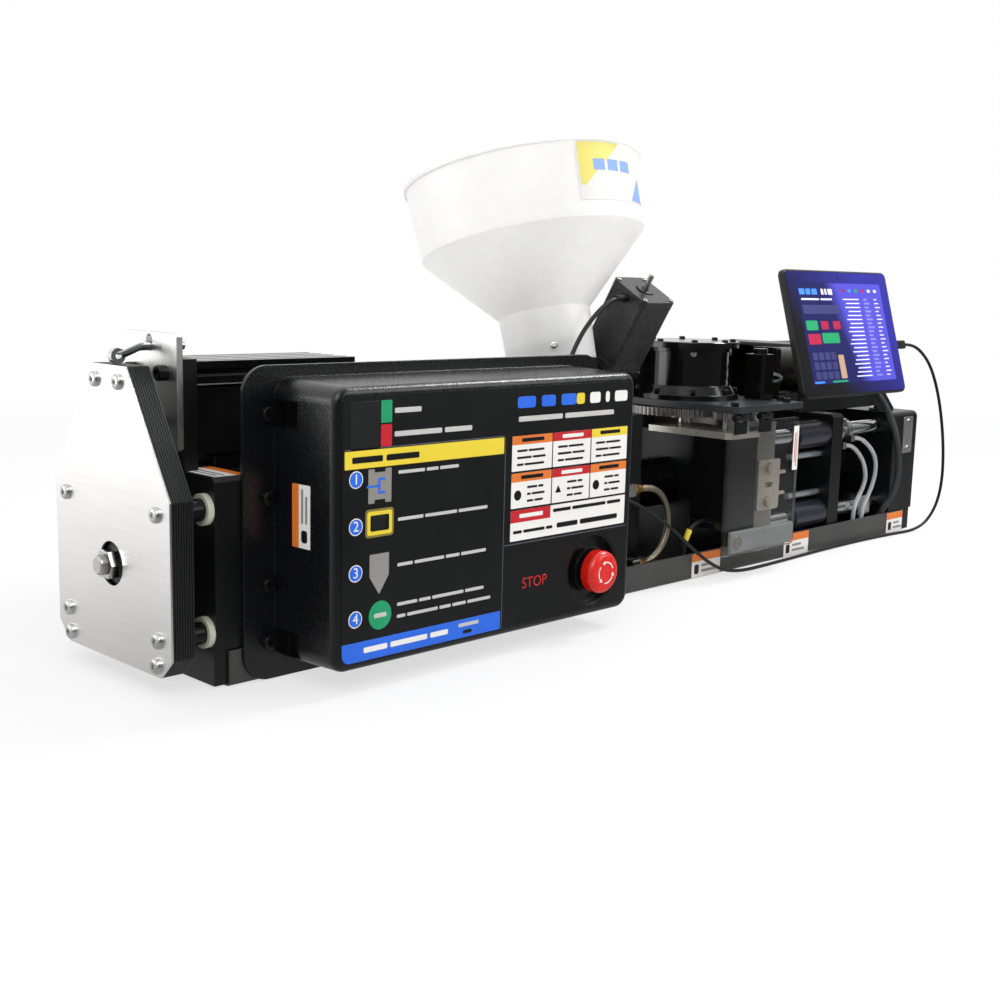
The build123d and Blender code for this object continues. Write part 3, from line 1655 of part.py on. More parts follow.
pieces = {
    "base_tray": base_tray,
    "belt_housing": belt_housing,
    "end_cover": end_cover,
    "thrust_block": thrust_block,
    "screw_bearing": screw_bearing,
    "drive_tie_rods": drive_tie_rods,
    "nylon_washers": nylon_washers,
    "ball_screw": ball_screw,
    "lock_nut": lock_nut,
    "screw_pulley": screw_pulley,
    "drive_belt": drive_belt,
    "motor_pulley": motor_pulley,
    "injection_motor": injection_motor,
    "upright_plate": upright_plate,
    "bracket_plate": bracket_plate,
    "chrome_rod": chrome_rod,
    "top_rail": top_rail,
    "ram_carriage": ram_carriage,
    "ball_nut": ball_nut,
    "plunger": plunger,
    "barrel_plate": barrel_plate,
    "barrel": barrel,
    "heater_bands": heater_bands,
    "feed_block": feed_block,
    "feed_motor": feed_motor,
    "feed_auger": feed_auger,
    "hopper": hopper,
    "control_housing": control_housing,
    "stop_collar": stop_collar,
    "stop_stem": stop_stem,
    "stop_button": stop_button,
    "nozzle_block": nozzle_block,
    "motor_plate": motor_plate,
    "valve_motor": valve_motor,
    "valve_pinion": valve_pinion,
    "valve_gear": valve_gear,
    "top_plate": top_plate,
    "plate_posts": plate_posts,
    "bearing_drum": bearing_drum,
    "valve_sensor": valve_sensor,
    "fixed_platen": fixed_platen,
    "side_clamps": side_clamps,
    "tie_bars": tie_bars,
    "moving_platen": moving_platen,
    "platen_sleeves": platen_sleeves,
    "guide_pins": guide_pins,
    "clamp_cylinder": clamp_cylinder,
    "clamp_ram": clamp_ram,
    "clamp_housing": clamp_housing,
    "tube_fittings": tube_fittings,
    "coolant_tubes": coolant_tubes,
    "rear_panel": rear_panel,
    "guard_door": guard_door,
    "guard_bar": guard_bar,
    "guard_hinges": guard_hinges,
    "guard_straps": guard_straps,
    "tablet": tablet,
    "tablet_bracket": tablet_bracket,
    "tablet_plug": tablet_plug,
    "tablet_cord": tablet_cord,
}
os.makedirs("parts", exist_ok=True)
for label, piece in pieces.items():
    piece.part.label = label
    export_step(piece.part, f"parts/{label}.step")
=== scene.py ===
import json
import math

import bmesh
import bpy
from mathutils import Matrix, Vector


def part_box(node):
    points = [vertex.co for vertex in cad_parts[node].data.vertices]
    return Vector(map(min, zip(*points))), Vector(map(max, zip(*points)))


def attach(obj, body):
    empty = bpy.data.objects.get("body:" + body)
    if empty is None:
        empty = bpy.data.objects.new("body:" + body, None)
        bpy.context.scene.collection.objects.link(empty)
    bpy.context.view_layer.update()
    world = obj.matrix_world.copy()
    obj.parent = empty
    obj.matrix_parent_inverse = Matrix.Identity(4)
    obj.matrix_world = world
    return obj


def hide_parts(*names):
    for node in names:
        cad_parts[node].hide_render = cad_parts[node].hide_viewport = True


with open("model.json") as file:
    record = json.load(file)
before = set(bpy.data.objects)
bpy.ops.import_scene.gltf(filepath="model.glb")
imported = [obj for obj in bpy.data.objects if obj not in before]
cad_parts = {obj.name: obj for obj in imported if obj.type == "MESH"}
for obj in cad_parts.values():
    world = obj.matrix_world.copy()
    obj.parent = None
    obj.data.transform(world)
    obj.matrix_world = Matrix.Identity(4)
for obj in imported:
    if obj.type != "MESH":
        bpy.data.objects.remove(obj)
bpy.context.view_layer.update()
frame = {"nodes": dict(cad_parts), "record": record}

nodes = frame["nodes"]
mm = 0.001
weld = 1e-6  # points nearer than this, in metres, are one
nearly = 0.9  # share from which a normal looks up, or a height is the top
crisp = 20  # smoothing angle, in degrees, that leaves print and threads sharp
print("frame loaded:", len(nodes), "nodes")


# Hands: selecting, shaping and settling pieces

def clearSelection():
    if bpy.context.object and bpy.context.object.mode != "OBJECT":
        bpy.ops.object.mode_set(mode="OBJECT")
    bpy.ops.object.select_all(action="DESELECT")


def workOn(piece):
    clearSelection()
    piece.select_set(True)
    bpy.context.view_layer.objects.active = piece


# in edit mode, the faces that pass become the selection; the mesh comes back with them and keeps them valid
def pickFaces(wanted):
    bpy.ops.mesh.select_mode(type="FACE")
    bpy.ops.mesh.select_all(action="DESELECT")
    shape = bmesh.from_edit_mesh(bpy.context.object.data)
    picked = [face for face in shape.faces if wanted(face)]
    for face in picked:
        face.select_set(True)
    bmesh.update_edit_mesh(bpy.context.object.data)
    return shape, picked


def pickEdges(wanted):  # in edit mode, the edges that pass become the selection
    bpy.ops.mesh.select_mode(type="EDGE")
    bpy.ops.mesh.select_all(action="DESELECT")
    shape = bmesh.from_edit_mesh(bpy.context.object.data)
    for edge in shape.edges:
        if wanted(edge):
            edge.select_set(True)
    bmesh.update_edit_mesh(bpy.context.object.data)


def endEdit():
    bpy.ops.mesh.select_all(action="SELECT")
    bpy.ops.mesh.normals_make_consistent(inside=False)
    bpy.ops.object.mode_set(mode="OBJECT")


def faceFrame(origin, right, up):  # a surface's own axes: right, up and out of it, from millimetres
    along, rise = Vector(right).normalized(), Vector(up).normalized()
    place = Matrix((along, rise, along.cross(rise))).transposed().to_4x4()
    place.translation = Vector(origin) * mm
    return place


def onto(origin, out):  # the place of a piece whose own +Z looks out of a surface
    place = Vector((0, 0, 1)).rotation_difference(Vector(out)).to_matrix().to_4x4()
    place.translation = Vector(origin) * mm
    return place


def joined(pieces):
    clearSelection()
    for piece in pieces:
        piece.select_set(True)
    bpy.context.view_layer.objects.active = pieces[0]
    if len(pieces) > 1:
        bpy.ops.object.join()
    return bpy.context.object


def copiesAt(source, places):  # the modelled piece at each place, every copy with its own mesh
    copies = []
    for place in places:
        copy = source.copy()
        copy.data = source.data.copy()
        copy.data.transform(place)
        bpy.context.scene.collection.objects.link(copy)
        copies.append(copy)
    bpy.data.objects.remove(source)
    return joined(copies)


def settle(piece, name, body, finish, slotName, smooth=35):
    workOn(piece)
    piece.name = name
    piece.data.name = name
    piece.data.materials.clear()
    piece.data.materials.append(finish)
    if piece.type == "MESH":
        bpy.ops.object.shade_smooth_by_angle(angle=math.radians(smooth))
    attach(piece, body)
    return piece


def lathed(outline, settings):  # (radius, height) points in millimetres drawn round +Z, left in edit mode
    profile = bpy.data.meshes.new("turned")
    profile.from_pydata([(r * mm, 0, h * mm) for r, h in outline], [(i, i + 1) for i in range(len(outline) - 1)], [])
    piece = bpy.data.objects.new("turned", profile)
    bpy.context.scene.collection.objects.link(piece)
    workOn(piece)
    lathe = piece.modifiers.new("lathe", "SCREW")
    for setting, value in settings.items():
        setattr(lathe, setting, value)
    bpy.ops.object.modifier_apply(modifier="lathe")
    bpy.ops.object.mode_set(mode="EDIT")
    return piece


def turned(outline, sides=32):  # a lathe piece
    piece = lathed(outline, {"steps": sides, "render_steps": sides, "use_merge_vertices": True,
                             "merge_threshold": weld})
    endEdit()
    return piece


def threaded(look):  # a cut thread: one ridge drawn round its core turn after turn
    root, crest, pitch = look["radius"], look["radius"] + look["deep"], look["pitch"]
    piece = lathed([(root, 0), (crest, pitch / 2), (root, pitch)],
                   {"steps": look["sides"], "render_steps": look["sides"], "screw_offset": pitch * mm,
                    "iterations": look["turns"]})
    bpy.ops.mesh.select_all(action="SELECT")
    bpy.ops.mesh.remove_doubles(threshold=weld)
    endEdit()
    return piece


# Finishes

def linear(code):  # sRGB hex to linear colour
    parts = [int(code[i:i + 2], 16) / 255 for i in (1, 3, 5)]
    return tuple(c / 12.92 if c <= 0.04045 else ((c + 0.055) / 1.055) ** 2.4 for c in parts) + (1,)


def addNode(tree, kind, settings, links=()):  # one node with its settings, fed by earlier sockets
    node = tree.nodes.new(kind)
    for key, value in settings.items():
        if key == "ramp":
            for stop, (spot, colour) in zip(node.color_ramp.elements, value):
                stop.position = spot
                stop.color = colour
        elif isinstance(key, int) or key in node.inputs:
            node.inputs[key].default_value = value
        else:
            setattr(node, key, value)
    for socket, source in links:
        tree.links.new(source, node.inputs[socket])
    return node


def newFinish(name, sockets):
    finish = bpy.data.materials.new(name)
    finish.use_nodes = True
    shader = finish.node_tree.nodes["Principled BSDF"]
    for socket, value in sockets.items():
        shader.inputs[socket].default_value = value
    return finish, finish.node_tree, shader


def grainedFinish(look):  # colour, gloss and skin that all follow one grain of a real size
    finish, tree, shader = newFinish(look["name"], look["sockets"])
    spot = addNode(tree, "ShaderNodeTexCoord", {})
    drawn = addNode(tree, "ShaderNodeMapping", {"Scale": look.get("drawn", (1, 1, 1))},
                    [("Vector", spot.outputs["Object"])])
    grain = addNode(tree, "ShaderNodeTexNoise", {"Scale": 1 / (look["grain"] * mm), "Detail": 3, "Roughness": 0.6},
                    [("Vector", drawn.outputs["Vector"])])
    cloud = addNode(tree, "ShaderNodeTexNoise", {"Scale": 1 / (look.get("cloud", 60) * mm), "Detail": 2},
                    [("Vector", spot.outputs["Object"])])
    both = addNode(tree, "ShaderNodeMath", {"operation": "MULTIPLY_ADD", 1: 0.5, 2: 0.25},
                   [(0, grain.outputs["Fac"])])
    mixed = addNode(tree, "ShaderNodeMath", {"operation": "MULTIPLY_ADD", 1: 0.5},
                    [(0, cloud.outputs["Fac"]), (2, both.outputs["Value"])])
    tone = addNode(tree, "ShaderNodeValToRGB",
                   {"ramp": [(0.6, linear(look["dark"])), (0.9, linear(look["light"]))]},
                   [("Fac", mixed.outputs["Value"])])
    tree.links.new(tone.outputs["Color"], shader.inputs["Base Color"])
    gloss = addNode(tree, "ShaderNodeMapRange",
                    {"From Min": 0.3, "From Max": 0.7, "To Min": look["gloss"][0], "To Max": look["gloss"][1]},
                    [("Value", grain.outputs["Fac"])])
    tree.links.new(gloss.outputs["Result"], shader.inputs["Roughness"])
    worn = addNode(tree, "ShaderNodeBevel", {"samples": 4, "Radius": look.get("edge", 0.5) * mm})  # broken edges
    skin = addNode(tree, "ShaderNodeBump", {"Strength": 1, "Distance": look.get("relief", 0.002) * mm},
                   [("Height", grain.outputs["Fac"]), ("Normal", worn.outputs["Normal"])])
    tree.links.new(skin.outputs["Normal"], shader.inputs["Normal"])
    return finish


# powder coat: a fine orange peel that dulls the gloss of folded sheet
powderCoat = grainedFinish({"name": "powder_coated_steel", "dark": "#151617", "light": "#1d1e1f", "grain": 1.8,
                            "gloss": (0.36, 0.48), "relief": 0.02, "sockets": {"Specular IOR Level": 0.3}})
# the tray's coat: the black powder coat painted greyer all over, painted light standing in for the lighter band its
# front shows
litTrayCoat = grainedFinish({"name": "tray_powder_coat_painted_light", "dark": "#3f3f3f", "light": "#4d4c4b", "grain": 1.8,
                          "gloss": (0.36, 0.48), "relief": 0.02, "sockets": {"Specular IOR Level": 0.3}})
# moulded ABS with a pebbled skin, drawn coarse enough to sparkle along the rounded edges
pebbledAbs = grainedFinish({"name": "pebbled_abs", "dark": "#0a0b0d", "light": "#101113", "grain": 1.8, "edge": 1.2,
                            "gloss": (0.18, 0.3), "relief": 0.25, "sockets": {"Specular IOR Level": 0.55}})
# black anodised aluminium: a satin skin over faint tool marks
anodised = grainedFinish({"name": "black_anodised_aluminium", "dark": "#0a0b0c", "light": "#121315", "grain": 1.2,
                          "drawn": (0.08, 1, 1), "gloss": (0.27, 0.38), "relief": 0.004, "edge": 0.9,
                          "sockets": {"Specular IOR Level": 0.36}})
# polished black anodising: catches bright lines on the edges of the rail and the drum
glossBlack = grainedFinish({"name": "polished_black_anodising", "dark": "#070708", "light": "#0e0f10", "grain": 6,
                            "gloss": (0.09, 0.15), "edge": 0.9, "sockets": {"Specular IOR Level": 0.55}})
# blue-black hardcoat on the sleeves: the blue-black tint is the coat's own, the violet lightness over the black is a
# painted sheen
sleeveCoatAndSheen = grainedFinish({"name": "blue_black_hardcoat_painted_sheen", "dark": "#22222b", "light": "#2d2d39", "grain": 9,
                            "gloss": (0.24, 0.27), "edge": 0.8, "sockets": {"Specular IOR Level": 0.6}})
# bronzed steel of the upper cylinder: black with an olive gleam
bronzedSteel = grainedFinish({"name": "bronzed_steel", "dark": "#1c1a13", "light": "#2c2819", "grain": 7,
                              "gloss": (0.2, 0.32), "edge": 0.8, "sockets": {"Metallic": 0.75}})
# enamel on the motors: smooth, deep black with a soft sheen
motorEnamel = grainedFinish({"name": "motor_enamel", "dark": "#0c0c0d", "light": "#121213", "grain": 8,
                             "gloss": (0.15, 0.2), "edge": 1.2, "sockets": {"Specular IOR Level": 0.42}})
# enamel of the feed motor, painted grey where the other motors are black: a painted reflection of the light its faces
# catch where it stands
litMotorEnamel = grainedFinish({"name": "motor_enamel_painted_reflection", "dark": "#232324", "light": "#2e2e2f", "grain": 9,
                            "gloss": (0.24, 0.29), "edge": 1, "sockets": {"Specular IOR Level": 0.5}})
# stacked acetal plates: matte, so that the stack's grooves read as lines
acetal = grainedFinish({"name": "acetal_plate", "dark": "#121314", "light": "#1e1f21", "grain": 2, "edge": 0.3,
                        "gloss": (0.34, 0.48), "relief": 0.01, "sockets": {"Specular IOR Level": 0.5}})
# rolled stainless, brushed across: lines 0.3 mm apart drawn at 0.9 mm so that they show
brushedStainless = grainedFinish({"name": "brushed_stainless", "dark": "#efeeeb", "light": "#faf9f7", "grain": 0.9,
                                  "drawn": (1, 0.012, 1), "cloud": 140, "gloss": (0.26, 0.32), "relief": 0.0002,
                                  "edge": 0.6, "sockets": {"Metallic": 1, "Anisotropic": 0.4}})
# milled aluminium: pale, with a light cloud of tool marks
milledAluminium = grainedFinish({"name": "milled_aluminium", "dark": "#c4c4c3", "light": "#dddddb", "grain": 1.5,
                                 "drawn": (1, 1, 0.1), "gloss": (0.3, 0.44), "relief": 0.006, "edge": 0.8,
                                 "sockets": {"Metallic": 1}})
# hard chrome: near mirror, with a breath of handling marks
hardChrome = grainedFinish({"name": "hard_chrome", "dark": "#d6d7d9", "light": "#e8e9ea", "grain": 8,
                            "gloss": (0.07, 0.14), "sockets": {"Metallic": 1}})
# ground steel: grey, with grinding rings across the axis
groundSteel = grainedFinish({"name": "ground_steel", "dark": "#b9b8b4", "light": "#d2d1cd", "grain": 0.8,
                             "drawn": (1, 0.1, 0.1), "gloss": (0.24, 0.36), "relief": 0.004,
                             "sockets": {"Metallic": 1}})
# tool steel of the motor plate and the fixed platen: darker, warmer grey
toolSteel = grainedFinish({"name": "tool_steel", "dark": "#bdb9ae", "light": "#d2cec3", "grain": 1.4,
                           "drawn": (0.1, 1, 1), "gloss": (0.26, 0.38), "relief": 0.004, "edge": 0.8,
                           "sockets": {"Metallic": 0.7}})
moldSteel = grainedFinish({"name": "mold_steel", "dark": "#85837c", "light": "#9f9d95", "grain": 2.5,
                           "gloss": (0.26, 0.4), "relief": 0.004, "edge": 0.8, "sockets": {"Metallic": 0.75}})
# polished guide pins: pale steel with a cool sheen
polishedPin = grainedFinish({"name": "polished_pin_steel", "dark": "#b4bec7", "light": "#c8d1d9", "grain": 6,
                             "gloss": (0.15, 0.22), "sockets": {"Metallic": 0.78}})
# grey anodised aluminium of the top plate
greyAnodised = grainedFinish({"name": "grey_anodised_aluminium", "dark": "#27282a", "light": "#343537", "grain": 1.6,
                              "drawn": (0.1, 1, 1), "gloss": (0.28, 0.38), "edge": 0.9,
                              "sockets": {"Specular IOR Level": 0.4}})
# blackened steel: dark grey metal with bright glints on its corners
blackenedSteel = grainedFinish({"name": "blackened_steel", "dark": "#1f1f20", "light": "#2c2c2e", "grain": 2.5,
                                "gloss": (0.24, 0.36), "sockets": {"Metallic": 0.9}})
# black oxide on the socket screws: oily black
blackOxide = grainedFinish({"name": "black_oxide_steel", "dark": "#0f0f10", "light": "#19191b", "grain": 2,
                            "gloss": (0.2, 0.32), "sockets": {"Metallic": 0.4}})
# zinc and nickel on bright screws
brightZinc = grainedFinish({"name": "bright_zinc", "dark": "#bcbcba", "light": "#d8d8d6", "grain": 3,
                            "gloss": (0.16, 0.28), "sockets": {"Metallic": 1}})
# annealed clamp steel: warm grey with heat tint
annealedSteel = grainedFinish({"name": "annealed_steel", "dark": "#bab1a1", "light": "#d0c7b8", "grain": 3,
                               "gloss": (0.26, 0.38), "relief": 0.004, "edge": 0.9, "sockets": {"Metallic": 0.65}})
# brass of the hose fittings
brass = grainedFinish({"name": "turned_brass", "dark": "#8e6c36", "light": "#b38d4e", "grain": 2,
                       "gloss": (0.2, 0.32), "sockets": {"Metallic": 1}})
# nylon: waxy, a little light goes into it
nylon = grainedFinish({"name": "nylon", "dark": "#b9b7a5", "light": "#cfcdbd", "grain": 4, "gloss": (0.42, 0.55),
                       "sockets": {"Subsurface Weight": 0.3, "Subsurface Scale": 0.002,
                                   "Subsurface Radius": (1, 0.9, 0.7)}})
# moulded polyethylene: milky white that light soaks into, softly glossy
polyethylene = grainedFinish({"name": "moulded_polyethylene", "dark": "#efeeeb", "light": "#f6f5f3", "grain": 14,
                              "cloud": 120, "gloss": (0.34, 0.44), "relief": 0.05, "edge": 1.5,
                              "sockets": {"Subsurface Weight": 0.75, "Subsurface Scale": 0.014,
                                          "Subsurface Radius": (1, 1, 0.97)}})
# belt rubber: dead black
beltRubber = grainedFinish({"name": "belt_rubber", "dark": "#0a0a0b", "light": "#121213", "grain": 2,
                            "gloss": (0.6, 0.75), "relief": 0.03, "sockets": {"Specular IOR Level": 0.25}})
# red moulded nylon of the stop button: saturated and glossy
stopPlastic = grainedFinish({"name": "red_moulded_nylon", "dark": "#c8150d", "light": "#dc2316", "grain": 9,
                             "gloss": (0.2, 0.3), "sockets": {"Coat Weight": 0.3, "Coat Roughness": 0.12}})
# cable PVC: black with a soft sheen
cablePvc = grainedFinish({"name": "cable_pvc", "dark": "#121213", "light": "#1c1c1d", "grain": 3,
                          "gloss": (0.32, 0.45), "sockets": {"Specular IOR Level": 0.45}})
# grey PVC of the sensor lead, braided sleeve of the loom, woven steel of the hose
greyPvc = grainedFinish({"name": "grey_pvc", "dark": "#7d8785", "light": "#98a19f", "grain": 3,
                         "gloss": (0.3, 0.42), "sockets": {"Specular IOR Level": 0.45}})
braidedSleeve = grainedFinish({"name": "braided_sleeve", "dark": "#222325", "light": "#3a3b3e", "grain": 1.1,
                               "gloss": (0.36, 0.55), "relief": 0.25, "sockets": {"Specular IOR Level": 0.5}})
wovenSteel = grainedFinish({"name": "woven_steel", "dark": "#6f6959", "light": "#a39b86", "grain": 1,
                            "gloss": (0.24, 0.42), "relief": 0.2, "sockets": {"Metallic": 0.85}})
# tablet shell: soft-touch moulded case
tabletShell = grainedFinish({"name": "soft_touch_shell", "dark": "#101012", "light": "#19191b", "grain": 1.6,
                             "gloss": (0.36, 0.48), "relief": 0.01, "sockets": {"Specular IOR Level": 0.4}})
# printed vinyl with a clear laminate: even colour, slight orange peel in the gloss
vinylInks = {"ink": "#18191a", "white": "#eceae6", "orange": "#e27a30", "yellow": "#e8d03a", "red": "#c5202c",
             "blue": "#2b6be0", "green": "#1f9a68", "grey": "#8f8e8b", "line": "#55565a", "text": "#c4c3bf",
             "smoke": "#222324", "steel": "#8d8b84", "brown": "#8a7a3c", "lemon": "#efe27c", "sky": "#8eb1ee"}
vinyl = {}
for ink, code in vinylInks.items():
    shade = "#" + "".join(f"{max(0, int(code[i:i + 2], 16) - 9):02x}" for i in (1, 3, 5))
    vinyl[ink] = grainedFinish({"name": "printed_vinyl_" + ink, "dark": shade, "light": code, "grain": 1.4,
                                "gloss": (0.3, 0.42), "relief": 0.004, "sockets": {"Specular IOR Level": 0.32}})
# clear acrylic: colourless sheet with polished faces and a faint milky haze
clearAcrylic = grainedFinish({"name": "clear_acrylic", "dark": "#f4f6f6", "light": "#fdfdfd", "grain": 20,
                              "gloss": (0, 0.03), "edge": 0,
                              "sockets": {"Transmission Weight": 0.996, "IOR": 1.03, "Coat Weight": 0.7,
                                          "Coat Roughness": 0.02}})
# the handle bar: the same sheet with a sanded, cloudy face
frostedAcrylic = grainedFinish({"name": "frosted_acrylic", "dark": "#969898", "light": "#a5a7a7", "grain": 20,
                                "gloss": (0.28, 0.34), "edge": 0.8,
                                "sockets": {"Transmission Weight": 0.5, "IOR": 1.2}})
# clear polyurethane tube: milky at the edges
clearTube = grainedFinish({"name": "clear_polyurethane", "dark": "#cfd4d6", "light": "#e2e6e7", "grain": 6,
                           "gloss": (0.12, 0.22),
                           "sockets": {"Transmission Weight": 0.55, "IOR": 1.5}})
print("finishes mixed:", len(bpy.data.materials))

slotFinish = {"tray_black": powderCoat, "stainless": brushedStainless, "laminate_black": acetal,
              "anodised_black": anodised, "aluminium": milledAluminium, "chrome": hardChrome, "steel": groundSteel,
              "sleeve_black": glossBlack, "clamp_tan": annealedSteel, "nylon_white": nylon,
              "hopper_white": polyethylene, "motor_black": motorEnamel, "housing_black": pebbledAbs,
              "belt_rubber": beltRubber, "stop_red": stopPlastic, "clear_sheet": clearAcrylic,
              "tube_clear": clearTube, "tablet_black": tabletShell, "cable_black": cablePvc}
nodeFinish = {"top_rail": glossBlack, "bearing_drum": glossBlack, "valve_gear": groundSteel,
              # base_tray takes the tray coat whose grey is painted light
              "valve_pinion": groundSteel, "drive_tie_rods": blackOxide, "base_tray": litTrayCoat,
              "screw_pulley": blackOxide, "heater_bands": blackenedSteel, "clamp_cylinder": bronzedSteel,
              # platen_sleeves take the hardcoat whose violet lightness is a painted sheen
              "guard_bar": frostedAcrylic, "platen_sleeves": sleeveCoatAndSheen, "fixed_platen": moldSteel,
              "motor_plate": toolSteel, "lock_nut": brightZinc, "tube_fittings": brightZinc, "top_plate": greyAnodised,
              # feed_motor takes the enamel whose grey is a painted reflection
              "guide_pins": polishedPin, "feed_motor": litMotorEnamel}
for part in frame["record"]["subparts"]:
    node = nodes[part["node"]]
    node.data.materials.clear()
    node.data.materials.append(nodeFinish.get(part["node"], slotFinish[part["material_slot"]]))
print("CAD nodes finished")


# Stage: floor, light and the photograph's camera

stage = {"floorSize": 14, "floorDrop": 0.0003, "fadeFrom": 0.9, "fadeTo": 2.6, "ownLight": 0.66, "worldFill": 0.64,
         "behindFrom": -0.7, "behindTo": 0.4, "frontDim": 0.12, "nearFrom": 0.7, "nearTo": 1.7, "nearDim": 0.72,
         "wallWay": (-0.25, 0.8, 0.55), "wallFrom": -0.55, "wallTo": 0.4, "wallDim": 0.08}
clearSelection()
bpy.ops.mesh.primitive_plane_add(size=stage["floorSize"], location=(0, 0, -stage["floorDrop"]))
floor = bpy.context.object
floor.name = "floor"
paper, tree, shader = newFinish("white_paper_sweep", {"Base Color": linear("#f4f4f4"), "Roughness": 0.9,
                                                      "Specular IOR Level": 0})
# seen directly the paper is nearly white by itself and turns pure white away from the object;
# in a mirror it is white behind the object and dim in front, as in a studio with one bright wall
spot = addNode(tree, "ShaderNodeTexCoord", {})
away = addNode(tree, "ShaderNodeVectorMath", {"operation": "LENGTH"}, [(0, spot.outputs["Object"])])
fade = addNode(tree, "ShaderNodeMapRange", {"From Min": stage["fadeFrom"], "From Max": stage["fadeTo"],
                                            "To Min": stage["ownLight"], "To Max": 1},
               [("Value", away.outputs["Value"])])
split = addNode(tree, "ShaderNodeSeparateXYZ", {}, [(0, spot.outputs["Object"])])
behind = addNode(tree, "ShaderNodeMapRange", {"From Min": stage["behindFrom"], "From Max": stage["behindTo"],
                                              "To Min": stage["frontDim"], "To Max": 1},
                 [("Value", split.outputs["Y"])])
# in a mirror the paper is also dimmer near the object: painted shade
near = addNode(tree, "ShaderNodeMapRange", {"From Min": stage["nearFrom"], "From Max": stage["nearTo"],
                                            "To Min": stage["nearDim"], "To Max": 1},
               [("Value", away.outputs["Value"])])
mirrored = addNode(tree, "ShaderNodeMath", {"operation": "MULTIPLY"},
                   [(0, behind.outputs["Result"]), (1, near.outputs["Result"])])
rays = addNode(tree, "ShaderNodeLightPath", {})
seen = addNode(tree, "ShaderNodeMath", {"operation": "MAXIMUM"},
               [(0, rays.outputs["Is Camera Ray"]), (1, rays.outputs["Is Transmission Ray"])])
shown = addNode(tree, "ShaderNodeMath", {"operation": "MULTIPLY"},
                [(0, seen.outputs["Value"]), (1, fade.outputs["Result"])])
share = addNode(tree, "ShaderNodeMath", {"operation": "MAXIMUM"},
                [(0, shown.outputs["Value"]), (1, rays.outputs["Is Glossy Ray"])])
level = addNode(tree, "ShaderNodeMapRange", {"To Min": 1},
                [("Value", rays.outputs["Is Glossy Ray"]), ("To Max", mirrored.outputs["Value"])])
glow = addNode(tree, "ShaderNodeEmission", {}, [("Strength", level.outputs["Result"])])
blend = addNode(tree, "ShaderNodeMixShader", {}, [(0, share.outputs["Value"]), (1, shader.outputs["BSDF"]),
                                                  (2, glow.outputs["Emission"])])
tree.links.new(blend.outputs["Shader"], tree.nodes["Material Output"].inputs["Surface"])
floor.data.materials.append(paper)

world = bpy.data.worlds.new("studio")
bpy.context.scene.world = world
world.use_nodes = True
tree = world.node_tree
spot = addNode(tree, "ShaderNodeTexCoord", {})
wall = addNode(tree, "ShaderNodeVectorMath", {"operation": "DOT_PRODUCT", 1: stage["wallWay"]},
               [(0, spot.outputs["Generated"])])
mirrored = addNode(tree, "ShaderNodeMapRange", {"From Min": stage["wallFrom"], "From Max": stage["wallTo"],
                                                "To Min": stage["wallDim"], "To Max": 1},
                   [("Value", wall.outputs["Value"])])
rays = addNode(tree, "ShaderNodeLightPath", {})
level = addNode(tree, "ShaderNodeMapRange", {"To Min": stage["worldFill"]},
                [("Value", rays.outputs["Is Glossy Ray"]), ("To Max", mirrored.outputs["Result"])])
seen = addNode(tree, "ShaderNodeMath", {"operation": "MAXIMUM"},
               [(0, rays.outputs["Is Camera Ray"]), (1, rays.outputs["Is Transmission Ray"])])
full = addNode(tree, "ShaderNodeMapRange", {"To Max": 1},
               [("Value", seen.outputs["Value"]), ("To Min", level.outputs["Result"])])
tree.links.new(full.outputs["Result"], tree.nodes["Background"].inputs["Strength"])
tree.nodes["Background"].inputs["Color"].default_value = (1, 1, 1, 1)

# each lamp's place, what it looks at, its width and its watts
lamps = {"key": ((-1.9, -1.7, 2.1), (-0.2, 0, 0.2), 1.5, 24), "fill": ((1.5, -2.2, 1.3), (0.2, 0, 0.15), 1.4, 18),
         "top": ((0.1, 0.5, 2.3), (0, 0, 0.2), 1.8, 9), "side": ((-2.3, 1.6, 0.45), (-0.62, 0, 0.2), 1.3, 13),
         "edge": ((1.2, -0.4, 1.7), (-0.3, -0.17, 0.27), 0.5, 19)}
for name, (place, target, width, watts) in lamps.items():
    lamp = bpy.data.lights.new(name, "AREA")
    lamp.size = width
    lamp.energy = watts
    holder = bpy.data.objects.new(name, lamp)
    holder.location = place
    holder.rotation_euler = (Vector(target) - Vector(place)).to_track_quat("-Z", "Y").to_euler()
    bpy.context.scene.collection.objects.link(holder)

shot = {"place": (-1.205, -1.053, 0.3605), "lens": 47.9, "sensor": 36, "yaw": 45.3, "down": 9.4, "roll": 1.4}
yaw, down, roll = (math.radians(shot[key]) for key in ("yaw", "down", "roll"))
ahead = Vector((math.sin(yaw) * math.cos(down), math.cos(yaw) * math.cos(down), -math.sin(down)))
aside = Vector((math.cos(yaw), -math.sin(yaw), 0))
above = aside.cross(ahead)
right = math.cos(roll) * aside + math.sin(roll) * above
upward = math.cos(roll) * above - math.sin(roll) * aside
eye = bpy.data.cameras.new("photo_camera")
eye.lens = shot["lens"]
eye.sensor_width = shot["sensor"]
viewer = bpy.data.objects.new("photo_camera", eye)
viewer.matrix_world = Matrix((right, upward, -ahead)).transposed().to_4x4()
viewer.matrix_world.translation = shot["place"]
bpy.context.scene.collection.objects.link(viewer)
bpy.context.scene.camera = viewer
bpy.context.scene.view_settings.view_transform = "Standard"
print("stage set")


# Cable and tubes

def layLine(name, points, radius, finish, slotName):
    line = bpy.data.curves.new(name, "CURVE")
    line.dimensions = "3D"
    run = line.splines.new("NURBS")
    run.points.add(len(points) - 1)
    for point, spot in zip(run.points, points):
        point.co = (spot[0] * mm, spot[1] * mm, spot[2] * mm, 1)
    run.order_u = 3
    run.use_endpoint_u = True
    run.resolution_u = 6
    line.bevel_depth = radius * mm
    line.bevel_resolution = 4
    line.use_fill_caps = True
    piece = bpy.data.objects.new(name, line)
    bpy.context.scene.collection.objects.link(piece)
    return settle(piece, name, "frame", finish, slotName)


